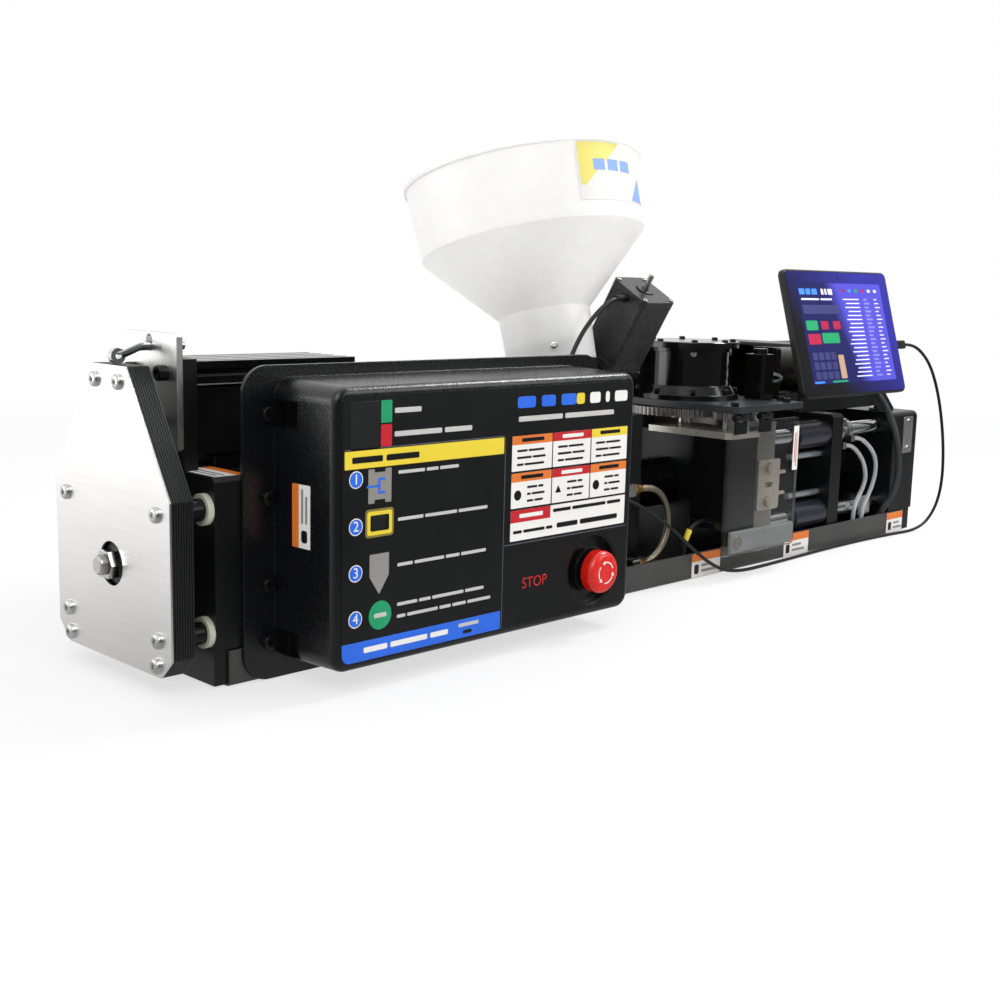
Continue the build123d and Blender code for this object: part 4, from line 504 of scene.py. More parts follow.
cable = {"radius": 2.2, "length": 1.143, "points": [
    (570, -104.96, 282.3), (594, -104.96, 282.3), (618, -109, 272), (641, -114, 250), (659, -119, 212),
    (672, -122.5, 168), (682, -124, 120), (689, -122, 74), (687, -117, 38), (669, -111, 12), (638, -106, 2.4),
    (594, -101.5, 2.4), (546, -98.6, 2.4), (497, -97.4, 2.4), (446, -97.8, 2.4), (394, -99.3, 2.4),
    (342, -101.6, 2.4), (290, -104.4, 2.4), (240, -106.6, 2.4), (192, -107.4, 2.4), (152, -106.6, 8),
    (118, -105, 24), (86, -103, 46), (52, -101.4, 71), (14, -100, 94), (-26, -98, 113), (-58, -92.5, 124),
    (-84, -84, 130), (-104, -74, 133)]}
tabletCable = layLine("tablet_cable", cable["points"], cable["radius"], cablePvc, "cable_black")
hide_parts("tablet_cord")

# tubes of the cooling water, the hose at the feed block, the loom and the leads: one line each
lines = {
    "coolant_tube_near": {"radius": 3, "length": 0.186, "finish": clearTube, "slot": "tube_clear", "points": [
        (462.5, -83, 141.6), (478.5, -83, 141.6), (502.6, -83, 129.6), (522.3, -83, 110.6), (530.5, -83, 89.6),
        (520.3, -83, 71.6), (504.7, -83, 55.6), (499.6, -83, 35.6), (499.6, -83, 2.5)]},
    "coolant_tube_far": {"radius": 3, "length": 0.202, "finish": clearTube, "slot": "tube_clear", "points": [
        (484.5, -83, 150.6), (502.5, -83, 150.6), (530.5, -83, 137.6), (550.5, -83, 121.6), (557.5, -83, 102.6),
        (552.4, -83, 80.6), (536.3, -83, 58.6), (522.5, -83, 38.6), (522.5, -83, 2.5)]},
    "feed_hose": {"radius": 4, "length": 0.182, "finish": wovenSteel, "slot": "steel", "points": [
        (0, -77, 121), (28, -77, 121), (45.4, -77, 117.5), (60.2, -77, 107.7), (70, -77, 92.9), (73.5, -77, 75.5),
        (70, -77, 58.1), (60.2, -77, 43.3), (45.4, -77, 33.5), (28, -77, 30), (14, -77, 30)]},
    "cylinder_loom": {"radius": 4.5, "length": 0.314, "finish": braidedSleeve, "slot": "cable_black", "points": [
        (568, 17.5, 237), (568, -12, 237), (568.5, -40, 230), (570, -65, 214), (574, -84, 190), (579, -96, 162),
        (583.5, -102, 131), (586.5, -104, 100), (585.5, -101.5, 74), (582, -95.5, 54), (578, -85.5, 37),
        (576, -80, 20), (576, -80, 2.5)]},
    "feed_motor_lead": {"radius": 2.6, "length": 0.392, "finish": cablePvc, "slot": "cable_black", "points": [
        (-8.5, -63, 343.12), (-26, -63, 343.12), (-45, -62.5, 334), (-64, -62, 319.5), (-81, -61.5, 301.5),
        (-95, -61, 280), (-105, -61, 255), (-110.5, -62, 228), (-112.5, -63.5, 195), (-113, -64.5, 155),
        (-112.4, -65, 112), (-112.8, -64.6, 66), (-112.2, -65, 24), (-112.2, -65, 2.5)]},
    "sensor_lead": {"radius": 2, "length": 0.198, "finish": greyPvc, "slot": "cable_black", "points": [
        (276, -69, 247), (298, -69, 247), (321, -64, 242.5), (343, -51, 236.5), (359, -35, 232), (374, -14, 230),
        (386, 6, 231.5), (399, 22, 234.5), (415, 30, 237), (431, 30, 237)]},
    "valve_motor_lead": {"radius": 2.5, "length": 0.09, "finish": cablePvc, "slot": "cable_black", "points": [
        (136, -84, 70), (121, -84, 70), (108, -83.5, 61.5), (101, -83, 47), (99, -82.5, 30), (99, -82.5, 2.5)]}}
for name, look in lines.items():
    laid = layLine(name, look["points"], look["radius"], look["finish"], look["slot"])
    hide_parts("coolant_tubes")
print("cable and tubes laid")


# Screws

headSides = 24
keyClear = 0.62  # share of the key's width at which the round opening starts, just past its corners
bright, dark = (brightZinc, "stainless"), (blackOxide, "motor_black")  # finish and slot of the two kinds of screw


def socketHead(look):  # a socket screw's head on the XY plane, looking up, from millimetres
    clearSelection()
    bpy.ops.mesh.primitive_cylinder_add(vertices=headSides, radius=look["radius"] * mm, depth=look["height"] * mm)
    head = bpy.context.object
    head.data.transform(Matrix.Translation((0, 0, look["height"] * mm / 2)))
    bpy.ops.object.mode_set(mode="EDIT")
    pickEdges(lambda edge: all(v.co.z > look["height"] * mm * nearly for v in edge.verts))
    bpy.ops.mesh.bevel(offset=look["round"] * mm, segments=3)
    pickFaces(lambda face: face.normal.z > nearly and len(face.verts) > 4)
    bpy.ops.mesh.inset(thickness=(look["radius"] - look["round"]) * mm - look["key"] * mm * keyClear)
    shape, floorOfKey = pickFaces(lambda face: face.normal.z > nearly and len(face.verts) > 4)
    for corner in floorOfKey[0].verts:  # the round opening becomes six-sided
        turn = math.atan2(corner.co.y, corner.co.x)
        reach = look["key"] * mm / 2 / math.cos((turn + math.pi / 6) % (math.pi / 3) - math.pi / 6)
        corner.co.x, corner.co.y = reach * math.cos(turn), reach * math.sin(turn)
    bmesh.update_edit_mesh(head.data)
    bpy.ops.mesh.extrude_region_move(TRANSFORM_OT_translate={"value": (0, 0, -look["deep"] * mm)})
    endEdit()
    return head


def hexHead(look):  # a hexagon bolt's head with its turned chamfer and the washer face below
    clearSelection()
    bpy.ops.mesh.primitive_cylinder_add(vertices=6, radius=look["across"] * mm / math.sqrt(3),
                                        depth=look["height"] * mm)
    head = bpy.context.object
    head.data.transform(Matrix.Translation((0, 0, look["height"] * mm / 2 + look["washer"] * mm)))
    bpy.ops.object.mode_set(mode="EDIT")
    upperPart = look["height"] * mm * 0.7
    pickEdges(lambda edge: abs(edge.verts[0].co.z - edge.verts[1].co.z) < weld and edge.verts[0].co.z > upperPart)
    bpy.ops.mesh.bevel(offset=look["edge"] * mm, segments=2)
    pickFaces(lambda face: face.normal.z < -nearly)
    bpy.ops.mesh.inset(thickness=look["edge"] * mm)
    bpy.ops.mesh.extrude_region_move(TRANSFORM_OT_translate={"value": (0, 0, -look["washer"] * mm)})
    endEdit()
    return head


def setScrews(look, name, places, coat):
    settle(copiesAt(socketHead(look), places), name, "frame", *coat)


def setTurned(outline, name, foot, way, finish, slotName, sides=32):
    settle(copiesAt(turned(outline, sides), [onto(foot, way)]), name, "frame", finish, slotName)


coverScrews = {"radius": 7.2, "height": 4.4, "round": 3, "key": 5, "deep": 2.6,
               "spots": [(-77.5, 159.1), (77.5, 159.1), (-77.5, 50.1), (77.5, 50.1), (-19.7, 266.6), (19.7, 266.6),
                         (-75, 27.6), (75, 27.6)]}
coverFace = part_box("end_cover")[0].x / mm
setScrews(coverScrews, "cover_screws", [onto((coverFace, y, z), (-1, 0, 0)) for y, z in coverScrews["spots"]], bright)

bracketScrews = {"radius": 7, "height": 9, "round": 1.2, "key": 6, "deep": 4,
                 "spots": [(-25.5, 273.2), (25.5, 273.2)]}
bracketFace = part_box("bracket_plate")[0].x / mm
setScrews(bracketScrews, "bracket_screws",
          [onto((bracketFace, y, z), (-1, 0, 0)) for y, z in bracketScrews["spots"]], dark)

flangeBolts = {"radius": 6.5, "height": 6, "round": 1, "key": 5, "deep": 3, "out": -95.5, "columns": (-529, -108),
               "rows": (240.6, 166, 88, 35.6)}
setScrews(flangeBolts, "flange_bolts", [onto((x, flangeBolts["out"], z), (0, -1, 0))
                                        for x in flangeBolts["columns"] for z in flangeBolts["rows"]], dark)

# three rings of screws on the bearing drum: in its cap, in its wall and in its foot
drumScrews = {"radius": 4, "height": 2.8, "round": 0.7, "key": 3.4, "deep": 1.6, "centre": (199, 0), "count": 8,
              "start": 225, "capRing": 58, "capTop": 289, "discRing": 62.5, "discTop": 224.5, "discHeight": 5,
              "sideRing": 54, "sideHeight": 274}
turns = [math.radians(drumScrews["start"] + 360 / drumScrews["count"] * i) for i in range(drumScrews["count"])]


def drumRing(radius, height, angles, outward=False):
    drumX, drumY = drumScrews["centre"]
    return [onto((drumX + radius * math.cos(a), drumY + radius * math.sin(a), height),
                 (math.cos(a), math.sin(a), 0) if outward else (0, 0, 1)) for a in angles]


setScrews(drumScrews, "drum_cap_screws", drumRing(drumScrews["capRing"], drumScrews["capTop"], turns), dark)
setScrews(drumScrews, "drum_side_screws",
          drumRing(drumScrews["sideRing"], drumScrews["sideHeight"], turns[::2], True), bright)
setScrews(dict(drumScrews, height=drumScrews["discHeight"]), "drum_foot_screws",
          drumRing(drumScrews["discRing"], drumScrews["discTop"], turns), dark)

plateScrews = {"radius": 5, "height": 5.5, "round": 0.9, "key": 4, "deep": 2.6, "top": 215.6,
               "spots": [(139, -120), (252, -120), (268, -100), (269, 58), (139, 58)]}
setScrews(plateScrews, "top_plate_screws",
          [onto((x, y, plateScrews["top"]), (0, 0, 1)) for x, y in plateScrews["spots"]], dark)

clampBolts = {"across": 13, "height": 5, "edge": 0.9, "washer": 0.6, "out": 91, "x": 262, "rows": (82.6, 126.6)}
settle(copiesAt(hexHead(clampBolts), [onto((clampBolts["x"], side * clampBolts["out"], z), (0, side, 0))
                                      for side in (-1, 1) for z in clampBolts["rows"]]),
       "side_clamp_bolts", "frame", annealedSteel, "clamp_tan")

# feed motor's end: four screws at the corners and the boss round the shaft
feedEnd = {"foot": (20, 0, 234), "way": (0, -0.5, 0.8660254), "length": 137, "corner": 23.2,
           "screw": {"radius": 2.8, "height": 1.6, "round": 0.5, "key": 2.4, "deep": 1},
           "boss": [(4.6, 0), (11, 0), (11, 1), (10.4, 1.6), (4.6, 1.6)]}
feedWay = Vector(feedEnd["way"])
feedSide, feedRise = Vector((1, 0, 0)), feedWay.cross(Vector((1, 0, 0)))
feedTop = Vector(feedEnd["foot"]) + feedWay * feedEnd["length"]
feedCorners = [feedTop + feedSide * a * feedEnd["corner"] + feedRise * b * feedEnd["corner"]
               for a in (-1, 1) for b in (-1, 1)]
setScrews(feedEnd["screw"], "feed_motor_screws", [onto(spot, feedWay) for spot in feedCorners], bright)
# the boss wears the feed motor's enamel, grey with painted reflection
setTurned(feedEnd["boss"], "feed_motor_boss", feedTop, feedWay, litMotorEnamel, "motor_black")

# thread on the screw's end
endThread = {"radius": 8.02, "deep": 1.2, "pitch": 2.2, "turns": 6, "sides": 20, "inset": 1, "axis": 104.6}
threadFoot = (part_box("ball_screw")[0].x / mm + endThread["inset"], 0, endThread["axis"])
settle(copiesAt(threaded(endThread), [onto(threadFoot, (1, 0, 0))]), "screw_end_thread", "screw", moldSteel, "steel",
       crisp)

# screw on the hopper's neck, the lead's bush on the feed motor, the sensor's plug and a yellow sleeve on a lead
neckScrew = {"radius": 4, "height": 2.4, "round": 1, "key": 3, "deep": 1.2, "spot": (-100.9, -39.4, 289.8),
             "out": (-0.666, -0.72, 0.193)}
setScrews(neckScrew, "neck_screw", [onto(neckScrew["spot"], neckScrew["out"])], bright)
leadBush = [(2.7, 0), (5, 0), (5, 3), (4, 5), (3.4, 15), (2.7, 16)]
setTurned(leadBush, "feed_motor_bush", lines["feed_motor_lead"]["points"][0], (-1, 0, 0), cablePvc, "cable_black")
sensorPlug = [(2.1, 0), (5, 0), (5, 4), (4, 5), (4, 11), (3.2, 12.5), (2.1, 14)]
setTurned(sensorPlug, "sensor_plug", lines["sensor_lead"]["points"][0], (1, 0, 0), *bright)
leadSleeve = {"outline": [(2.6, 0), (3.7, 0.6), (3.9, 3), (3.4, 12), (3, 17), (2.6, 17.5)],
              "foot": (108.3, -83.5, 62), "way": (-7, 0.5, -14.5), "sides": 20}
setTurned(leadSleeve["outline"], "lead_sleeve", leadSleeve["foot"], leadSleeve["way"], vinyl["yellow"], "cable_black",
          leadSleeve["sides"])

# hexagon nuts and ferrules on the two ends of the hose
hoseNut = {"across": 12.5, "height": 8, "edge": 0.7, "washer": 0.5,
           "ferrule": [(4.1, 7), (5.4, 7.5), (5.4, 13), (4.7, 17), (4.1, 17.5)]}
nutPlaces = [onto(lines["feed_hose"]["points"][end], (1, 0, 0)) for end in (0, -1)]
settle(joined([copiesAt(hexHead(hoseNut), nutPlaces), copiesAt(turned(hoseNut["ferrule"]), nutPlaces)]), "hose_nuts",
       "frame", brass, "steel")
print("screws set")


# Printed fields: thin plates with rounded corners

def fieldOn(face, low, high, corner, base, thick):  # a plate between two corners of a surface, from millimetres
    clearSelection()
    bpy.ops.mesh.primitive_plane_add(size=1)
    field = bpy.context.object
    bpy.ops.object.mode_set(mode="EDIT")
    bpy.ops.transform.resize(value=((high[0] - low[0]) * mm, (high[1] - low[1]) * mm, 1))
    if corner:
        bpy.ops.mesh.bevel(offset=corner * mm, segments=4, affect="VERTICES")
    bpy.ops.mesh.extrude_region_move(TRANSFORM_OT_translate={"value": (0, 0, thick * mm)})
    endEdit()
    middle = ((low[0] + high[0]) / 2 * mm, (low[1] + high[1]) / 2 * mm, base * mm)
    field.data.transform(face @ Matrix.Translation(middle))
    return field


def softBlock(face, low, high, corner, base, thick, edge):  # the same plate with its edges rounded over
    block = fieldOn(face, low, high, corner, base, thick)
    workOn(block)
    rounding = block.modifiers.new("rounding", "BEVEL")
    rounding.width = edge * mm
    rounding.segments = 3
    bpy.ops.object.modifier_apply(modifier="rounding")
    return block


def sheetOn(face, outline, base, thick, corner=0):  # a sheet cut to an outline, from millimetres
    cutOut = bpy.data.meshes.new("sheet")
    cutOut.from_pydata([(x * mm, y * mm, 0) for x, y in outline], [], [list(range(len(outline)))])
    sheet = bpy.data.objects.new("sheet", cutOut)
    bpy.context.scene.collection.objects.link(sheet)
    workOn(sheet)
    bpy.ops.object.mode_set(mode="EDIT")
    bpy.ops.mesh.select_all(action="SELECT")
    if corner:
        bpy.ops.mesh.bevel(offset=corner * mm, segments=3, affect="VERTICES")
    bpy.ops.mesh.extrude_region_move(TRANSFORM_OT_translate={"value": (0, 0, thick * mm)})
    endEdit()
    sheet.data.transform(face @ Matrix.Translation((0, 0, base * mm)))
    return sheet


def discOn(face, centre, radius, base, thick, sides=32):
    clearSelection()
    bpy.ops.mesh.primitive_circle_add(vertices=sides, radius=radius * mm, fill_type="NGON")
    disc = bpy.context.object
    bpy.ops.object.mode_set(mode="EDIT")
    bpy.ops.mesh.select_all(action="SELECT")
    bpy.ops.mesh.extrude_region_move(TRANSFORM_OT_translate={"value": (0, 0, thick * mm)})
    pickEdges(lambda edge: all(v.co.z > thick * mm * nearly for v in edge.verts))
    bpy.ops.mesh.bevel(offset=min(thick * 0.3, 0.4) * mm, segments=2)
    endEdit()
    disc.data.transform(face @ Matrix.Translation((centre[0] * mm, centre[1] * mm, base * mm)))
    return disc


def wordOn(face, body, centre, height, base, thick):
    clearSelection()
    bpy.ops.object.text_add()
    word = bpy.context.object
    word.data.body = body
    word.data.size = height * mm
    word.data.align_x = "CENTER"
    word.data.align_y = "CENTER"
    word.data.extrude = thick * mm / 2
    bpy.ops.object.convert(target="MESH")
    word = bpy.context.object
    word.data.transform(face @ Matrix.Translation((centre[0] * mm, centre[1] * mm, (base + thick / 2) * mm)))
    return word


# Front overlay of the control housing: one sheet with printed fields, numbers and plain bars for the lines of print
overlay = {"front": -177.5, "low": (-510.5, 28), "high": (-130.5, 261), "corner": 9, "thick": 0.5, "print": 0.15,
           "recess": (-184, 68), "recessRadius": 38, "recessSides": 64, "cutFrom": -4, "cutDeep": 8,
           "barRound": 0.25, "barGap": 0.75}  # rounding and gap of the bars, as shares of their height
panelFace = faceFrame((0, overlay["front"], 0), (1, 0, 0), (0, 0, 1))
sheet = fieldOn(panelFace, overlay["low"], overlay["high"], overlay["corner"], 0, overlay["thick"])
hole = discOn(panelFace, overlay["recess"], overlay["recessRadius"], overlay["cutFrom"], overlay["cutDeep"],
              overlay["recessSides"])
workOn(sheet)
cut = sheet.modifiers.new("recess", "BOOLEAN")
cut.object = hole
cut.operation = "DIFFERENCE"
bpy.ops.object.modifier_apply(modifier="recess")
bpy.data.objects.remove(hole)
settle(sheet, "overlay_sheet", "frame", vinyl["ink"], "housing_black")

# what is printed in each ink, joined to one piece in the end
printed = {ink: [] for ink in ("smoke", "green", "red", "text", "yellow", "ink", "blue", "white", "line", "steel",
                               "brown", "grey", "orange")}


def layer(level):  # height of a layer of print over the panel
    return overlay["thick"] + level * overlay["print"]


def printField(ink, low, high, corner, level=0):
    printed[ink].append(fieldOn(panelFace, low, high, corner, layer(level), overlay["print"]))


def printDisc(ink, centre, radius, level=0, sides=32):
    printed[ink].append(discOn(panelFace, centre, radius, layer(level), overlay["print"], sides))


def printWords(ink, left, row, words, height=3, level=0):  # a line of print, shown as plain bars
    for length in words:
        printField(ink, (left, row - height / 2), (left + length, row + height / 2), height * overlay["barRound"],
                   level)
        left += length + height * overlay["barGap"]


# a field's row: ink, low and high corner, rounding, layer;
# a line's row: ink, left end, middle of the row, lengths of the bars, their height, layer
panelHead = [
    (printField, "smoke", (-502, 214), (-470, 256), 1.5), (printField, "green", (-468.5, 236.5), (-456, 256), 1),
    (printField, "red", (-468.5, 216), (-456, 235), 1), (printWords, "text", -453, 246.5, (31,), 4.6),
    (printWords, "text", -453, 226, (56, 34), 4.6), (printField, "yellow", (-508, 198.5), (-317, 214), 0),
    (printWords, "ink", -500, 206, (34, 38), 5.4, 1)]
for draw, *row in panelHead:
    draw(*row)

# the foot band follows the sheet's rounded corner
foot = {"left": -510.3, "low": 28.2, "right": -317, "high": 46, "corner": 8.6, "steps": 6}
bend = [math.radians(180 + 90 * i / foot["steps"]) for i in range(foot["steps"] + 1)]
footOutline = [(foot["left"] + foot["corner"] * (1 + math.cos(a)), foot["low"] + foot["corner"] * (1 + math.sin(a)))
               for a in bend]
footOutline += [(foot["right"], foot["low"]), (foot["right"], foot["high"]), (foot["left"], foot["high"])]
printed["blue"].append(sheetOn(panelFace, footOutline, layer(0), overlay["print"]))

panelBody = [
    (printWords, "white", -486, 37.5, (27, 44, 22), 5, 1), (printWords, "text", -372, 40.5, (26,), 3.4, 1),
    (printWords, "ink", -366, 33.5, (11,), 3.4, 1), (printField, "line", (-315.6, 29), (-314.6, 214), 0),
    (printField, "line", (-315.6, 108.6), (-131, 109.6), 0), (printField, "line", (-508, 214.6), (-317, 215.6), 0),
    # lines of the four steps
    (printWords, "text", -448, 192, (31, 14, 23)), (printWords, "text", -448, 150, (30, 39, 37)),
    (printWords, "text", -448, 109, (18, 36, 17, 32)), (printWords, "text", -448, 73, (24, 14, 39, 24)),
    (printWords, "text", -448, 62, (10, 37, 14, 17, 30)), (printWords, "text", -474.5, 66.5, (14,), 4, 1),
    # step pictures: a mold with its runner, a screen and the upper part of a hopper
    (printField, "steel", (-482, 167), (-475, 197), 0.6), (printField, "steel", (-463, 167), (-456, 197), 0.6),
    (printField, "steel", (-475, 170), (-463, 194), 0), (printField, "blue", (-484, 181), (-471, 183), 0, 1),
    (printField, "blue", (-471, 175), (-468.6, 189), 0, 1), (printField, "blue", (-468.6, 175), (-463, 177), 0, 1),
    (printField, "blue", (-468.6, 187), (-463, 189), 0, 1), (printField, "brown", (-485, 137), (-453, 162), 3),
    (printField, "yellow", (-483, 139), (-455, 160), 2.4, 1),
    (printField, "ink", (-479.5, 142.5), (-458.5, 156.5), 1.4, 2),
    (printField, "smoke", (-478, 144), (-463, 155), 1, 3), (printField, "grey", (-480, 102), (-458, 122), 0.6),
    # plain bars in the heading's place
    (printWords, "blue", -300, 246, (25, 20, 22), 11), (printWords, "yellow", -216, 246, (12,), 11),
    (printWords, "white", -196, 246, (16, 6, 20), 11), (printWords, "text", -298, 230, (62, 74), 5),
    # the wide cell below the grid
    (printField, "white", (-306, 112), (-135.5, 142), 0.6), (printField, "red", (-306, 130), (-250, 142), 0.6, 1),
    (printWords, "white", -294, 136, (33,), 4, 2), (printWords, "ink", -246, 136.5, (26, 51, 21), 3.4, 1),
    (printWords, "ink", -302, 120.5, (12, 30, 9), 3, 1), (printWords, "ink", -240, 121, (31, 58), 5, 1)]
for draw, *row in panelBody:
    draw(*row)

# numbered discs, and the green key beside the last one
steps = {"x": -495.5, "rows": (189.3, 148.4, 107.6, 66.7), "radius": 7.6, "rim": 0.9, "number": 13,
         "key": (-467.5, 66.5), "keyRadius": 13}
for number, row in enumerate(steps["rows"], 1):
    printDisc("white", (steps["x"], row), steps["radius"])
    printDisc("blue", (steps["x"], row), steps["radius"] - steps["rim"], 1)
    printed["white"].append(wordOn(panelFace, str(number), (steps["x"], row), steps["number"], layer(2),
                                   overlay["print"]))
printDisc("green", steps["key"], steps["keyRadius"])

# point of the hopper's picture: a triangle turned downwards
point = {"radius": 11, "spot": (-469, 96.6), "stretch": 1.155}
clearSelection()
bpy.ops.mesh.primitive_circle_add(vertices=3, radius=point["radius"] * mm, fill_type="NGON")
triangle = bpy.context.object
bpy.ops.object.mode_set(mode="EDIT")
bpy.ops.mesh.extrude_region_move(TRANSFORM_OT_translate={"value": (0, 0, overlay["print"] * mm)})
endEdit()
triangle.data.transform(panelFace @ Matrix.Translation((point["spot"][0] * mm, point["spot"][1] * mm, layer(0) * mm))
                        @ Matrix.Diagonal((point["stretch"], -1, 1, 1)))
workOn(triangle)
bpy.ops.object.mode_set(mode="EDIT")
endEdit()
printed["grey"].append(triangle)

# grid of coloured cells, each a white field under a coloured head; the lower row has a mark at its left
cells = {"columns": ((-306, -250), (-248.5, -193), (-191.5, -135.5)), "rows": ((180, 214), (144, 178)), "head": 8.5,
         "heads": (("orange", "red", "yellow"), ("orange", "red", "orange")), "corner": 0.6, "mark": (9, 12.5),
         "markRadius": 5, "indent": 15, "headFrom": 13, "headWord": (31,), "headBar": 3.6, "linesFrom": 7,
         "lineBar": 2.2}
for index, ((bottom, top), heads) in enumerate(zip(cells["rows"], cells["heads"])):
    inset = cells["indent"] * index
    for (start, end), head in zip(cells["columns"], heads):
        printField("white", (start, bottom), (end, top), cells["corner"])
        printField(head, (start, top - cells["head"]), (end, top), cells["corner"], 1)
        printWords("white" if head == "red" else "ink", start + cells["headFrom"], top - cells["head"] / 2,
                   cells["headWord"], cells["headBar"], 2)
        if index:
            printDisc("ink", (start + cells["mark"][0], bottom + cells["mark"][1]), cells["markRadius"], 1,
                      3 if head == "red" else 20)
        for row, words in ((19.5, (14, 22 - inset)), (12.8, (20 - inset, 18)), (6.1, (9, 27 - inset))):
            printWords("ink", start + cells["linesFrom"] + inset, bottom + row, words, cells["lineBar"], 1)

stopWord = {"word": "STOP", "spot": (-270, 68), "height": 15}
printed["red"].append(wordOn(panelFace, stopWord["word"], stopWord["spot"], stopWord["height"], layer(0),
                             overlay["print"]))
for ink, fields in printed.items():
    settle(joined(fields), "overlay_print_" + ink, "frame", vinyl[ink], "housing_black", crisp)
print("overlay printed")

# Plain two-colour fields on the tray, the housing's side and the thrust block
label = {"thick": 0.2, "rounding": {"white": 1, "orange": 1, "ink": 2.5, "grey": 0.5}, "trayFront": -91.5,
         "draft": 2, "sideFoot": (-521, -95.5, 0), "blockTop": 187.6,
         "trayEnds": ((106, 165), (310, 370), (584, 630)), "bottom": 2, "bandFrom": 22, "top": 32,
         "mark": ((5, 4), (14, 16)), "barsFrom": 20, "bars": ((14, 0.36), (7, 0.5)), "barHalf": 1.6,
         "side": [("white", (25.5, 126), (50, 182)), ("orange", (25.5, 126), (34.5, 182)),
                  ("ink", (38, 131), (46, 142)), ("grey", (38, 148), (40.6, 178)), ("grey", (43.5, 148), (46.1, 172))],
         "block": [("white", (-576, -86), (-544, -30)), ("orange", (-554, -86), (-544, -30)),
                   ("grey", (-572, -80), (-569, -44)), ("grey", (-565, -80), (-562, -36))]}
trayFace = faceFrame((0, label["trayFront"], 0), (1, 0, 0), (0, 0, 1))
draft = math.radians(label["draft"])
sideFace = faceFrame(label["sideFoot"], (math.sin(draft), -math.cos(draft), 0), (0, 0, 1))
blockFace = faceFrame((0, 0, label["blockTop"]), (1, 0, 0), (0, 1, 0))
labelFields = {ink: [] for ink in label["rounding"]}


def labelField(face, ink, low, high):  # white is the ground, the other inks lie on it
    labelFields[ink].append(fieldOn(face, low, high, label["rounding"][ink], 0 if ink == "white" else label["thick"],
                                    label["thick"]))


for start, end in label["trayEnds"]:
    bottom, barsFrom = label["bottom"], start + label["barsFrom"]
    labelField(trayFace, "white", (start, bottom), (end, label["top"]))
    labelField(trayFace, "orange", (start, label["bandFrom"]), (end, label["top"]))
    labelField(trayFace, "ink", *[(start + x, bottom + z) for x, z in label["mark"]])
    for row, share in label["bars"]:
        labelField(trayFace, "grey", (barsFrom, bottom + row - label["barHalf"]),
                   (barsFrom + (end - start) * share, bottom + row + label["barHalf"]))
for field in label["side"]:
    labelField(sideFace, *field)
for field in label["block"]:
    labelField(blockFace, *field)
for ink, pieces in labelFields.items():
    settle(joined(pieces), "label_fields_" + ink, "frame", vinyl[ink], "hopper_white")

# Bare metal plate with two screws on the clamp housing
plate = {"low": (614, 120), "high": (641, 174), "corner": 2.5, "thick": 0.9, "screws": [(627.5, 167), (627.5, 127)],
         "screw": {"radius": 4, "height": 2, "round": 0.9, "key": 2.6, "deep": 1.2}}
settle(fieldOn(trayFace, plate["low"], plate["high"], plate["corner"], 0, plate["thick"]), "housing_plate", "frame",
       milledAluminium, "aluminium")
setScrews(plate["screw"], "housing_plate_screws",
          [onto((x, label["trayFront"] - plate["thick"], z), (0, -1, 0)) for x, z in plate["screws"]], bright)

# Screws of the rear panel, along the tray and up the clamp housing, and the tie bars' screws in the housing's end
panelScrews = {"radius": 4.5, "height": 2.6, "round": 1.2, "key": 3.2, "deep": 1.5,
               "spots": [(118, 18), (200, 18), (340, 18), (480, 18), (620, 18), (620, 92), (620, 166)]}
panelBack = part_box("rear_panel")[1].y / mm
setScrews(panelScrews, "rear_panel_screws", [onto((x, panelBack, z), (0, 1, 0)) for x, z in panelScrews["spots"]],
          bright)
endScrews = {"radius": 8, "height": 5, "round": 1, "key": 7, "deep": 3, "columns": (-66, 66), "rows": (49, 160)}
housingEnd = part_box("clamp_housing")[1].x / mm
setScrews(endScrews, "clamp_housing_screws", [onto((housingEnd, y, z), (1, 0, 0))
                                              for y in endScrews["columns"] for z in endScrews["rows"]], dark)

# Guard: a plain white strip by its edge, the round magnet in the handle bar,
# and milky strips along the sheet's free edge and its top edge
guard = {"front": -126, "strip": ((263.5, 128), (275, 185)), "stripCorner": 1, "stripThick": 0.25,
         "bars": (((266.5, 138), (268, 176)), ((270, 133), (271.5, 178))), "barCorner": 0.3, "barThick": 0.1,
         "magnet": [(0, 0), (8.8, 0), (8.8, 0.5), (8.2, 0.9), (7.4, 0.9), (7, 0.5), (0, 0.5)],
         "magnetSpot": (143, -131, 48.5), "magnetSides": 40, "edgeAt": 276, "edge": ((-125.9, 37), (-121.6, 190)),
         "crownAt": 196, "crown": ((128, -125.9), (270, -121.6)), "edgeLift": 0.02, "edgeThick": 0.15}
guardFace = faceFrame((0, guard["front"], 0), (1, 0, 0), (0, 0, 1))
settle(fieldOn(guardFace, *guard["strip"], guard["stripCorner"], 0, guard["stripThick"]), "guard_strip", "guard",
       vinyl["white"], "hopper_white")
settle(joined([fieldOn(guardFace, *bar, guard["barCorner"], guard["stripThick"], guard["barThick"])
               for bar in guard["bars"]]), "guard_strip_print", "guard", vinyl["red"], "stop_red")
settle(copiesAt(turned(guard["magnet"], guard["magnetSides"]), [onto(guard["magnetSpot"], (0, -1, 0))]), "guard_magnet",
       "guard", moldSteel, "steel")
edgeFace = faceFrame((guard["edgeAt"], 0, 0), (0, 1, 0), (0, 0, 1))
crownFace = faceFrame((0, 0, guard["crownAt"]), (1, 0, 0), (0, 1, 0))
settle(joined([fieldOn(edgeFace, *guard["edge"], 0, guard["edgeLift"], guard["edgeThick"]),
               fieldOn(crownFace, *guard["crown"], 0, guard["edgeLift"], guard["edgeThick"])]), "guard_edges", "guard",
       frostedAcrylic, "clear_sheet")

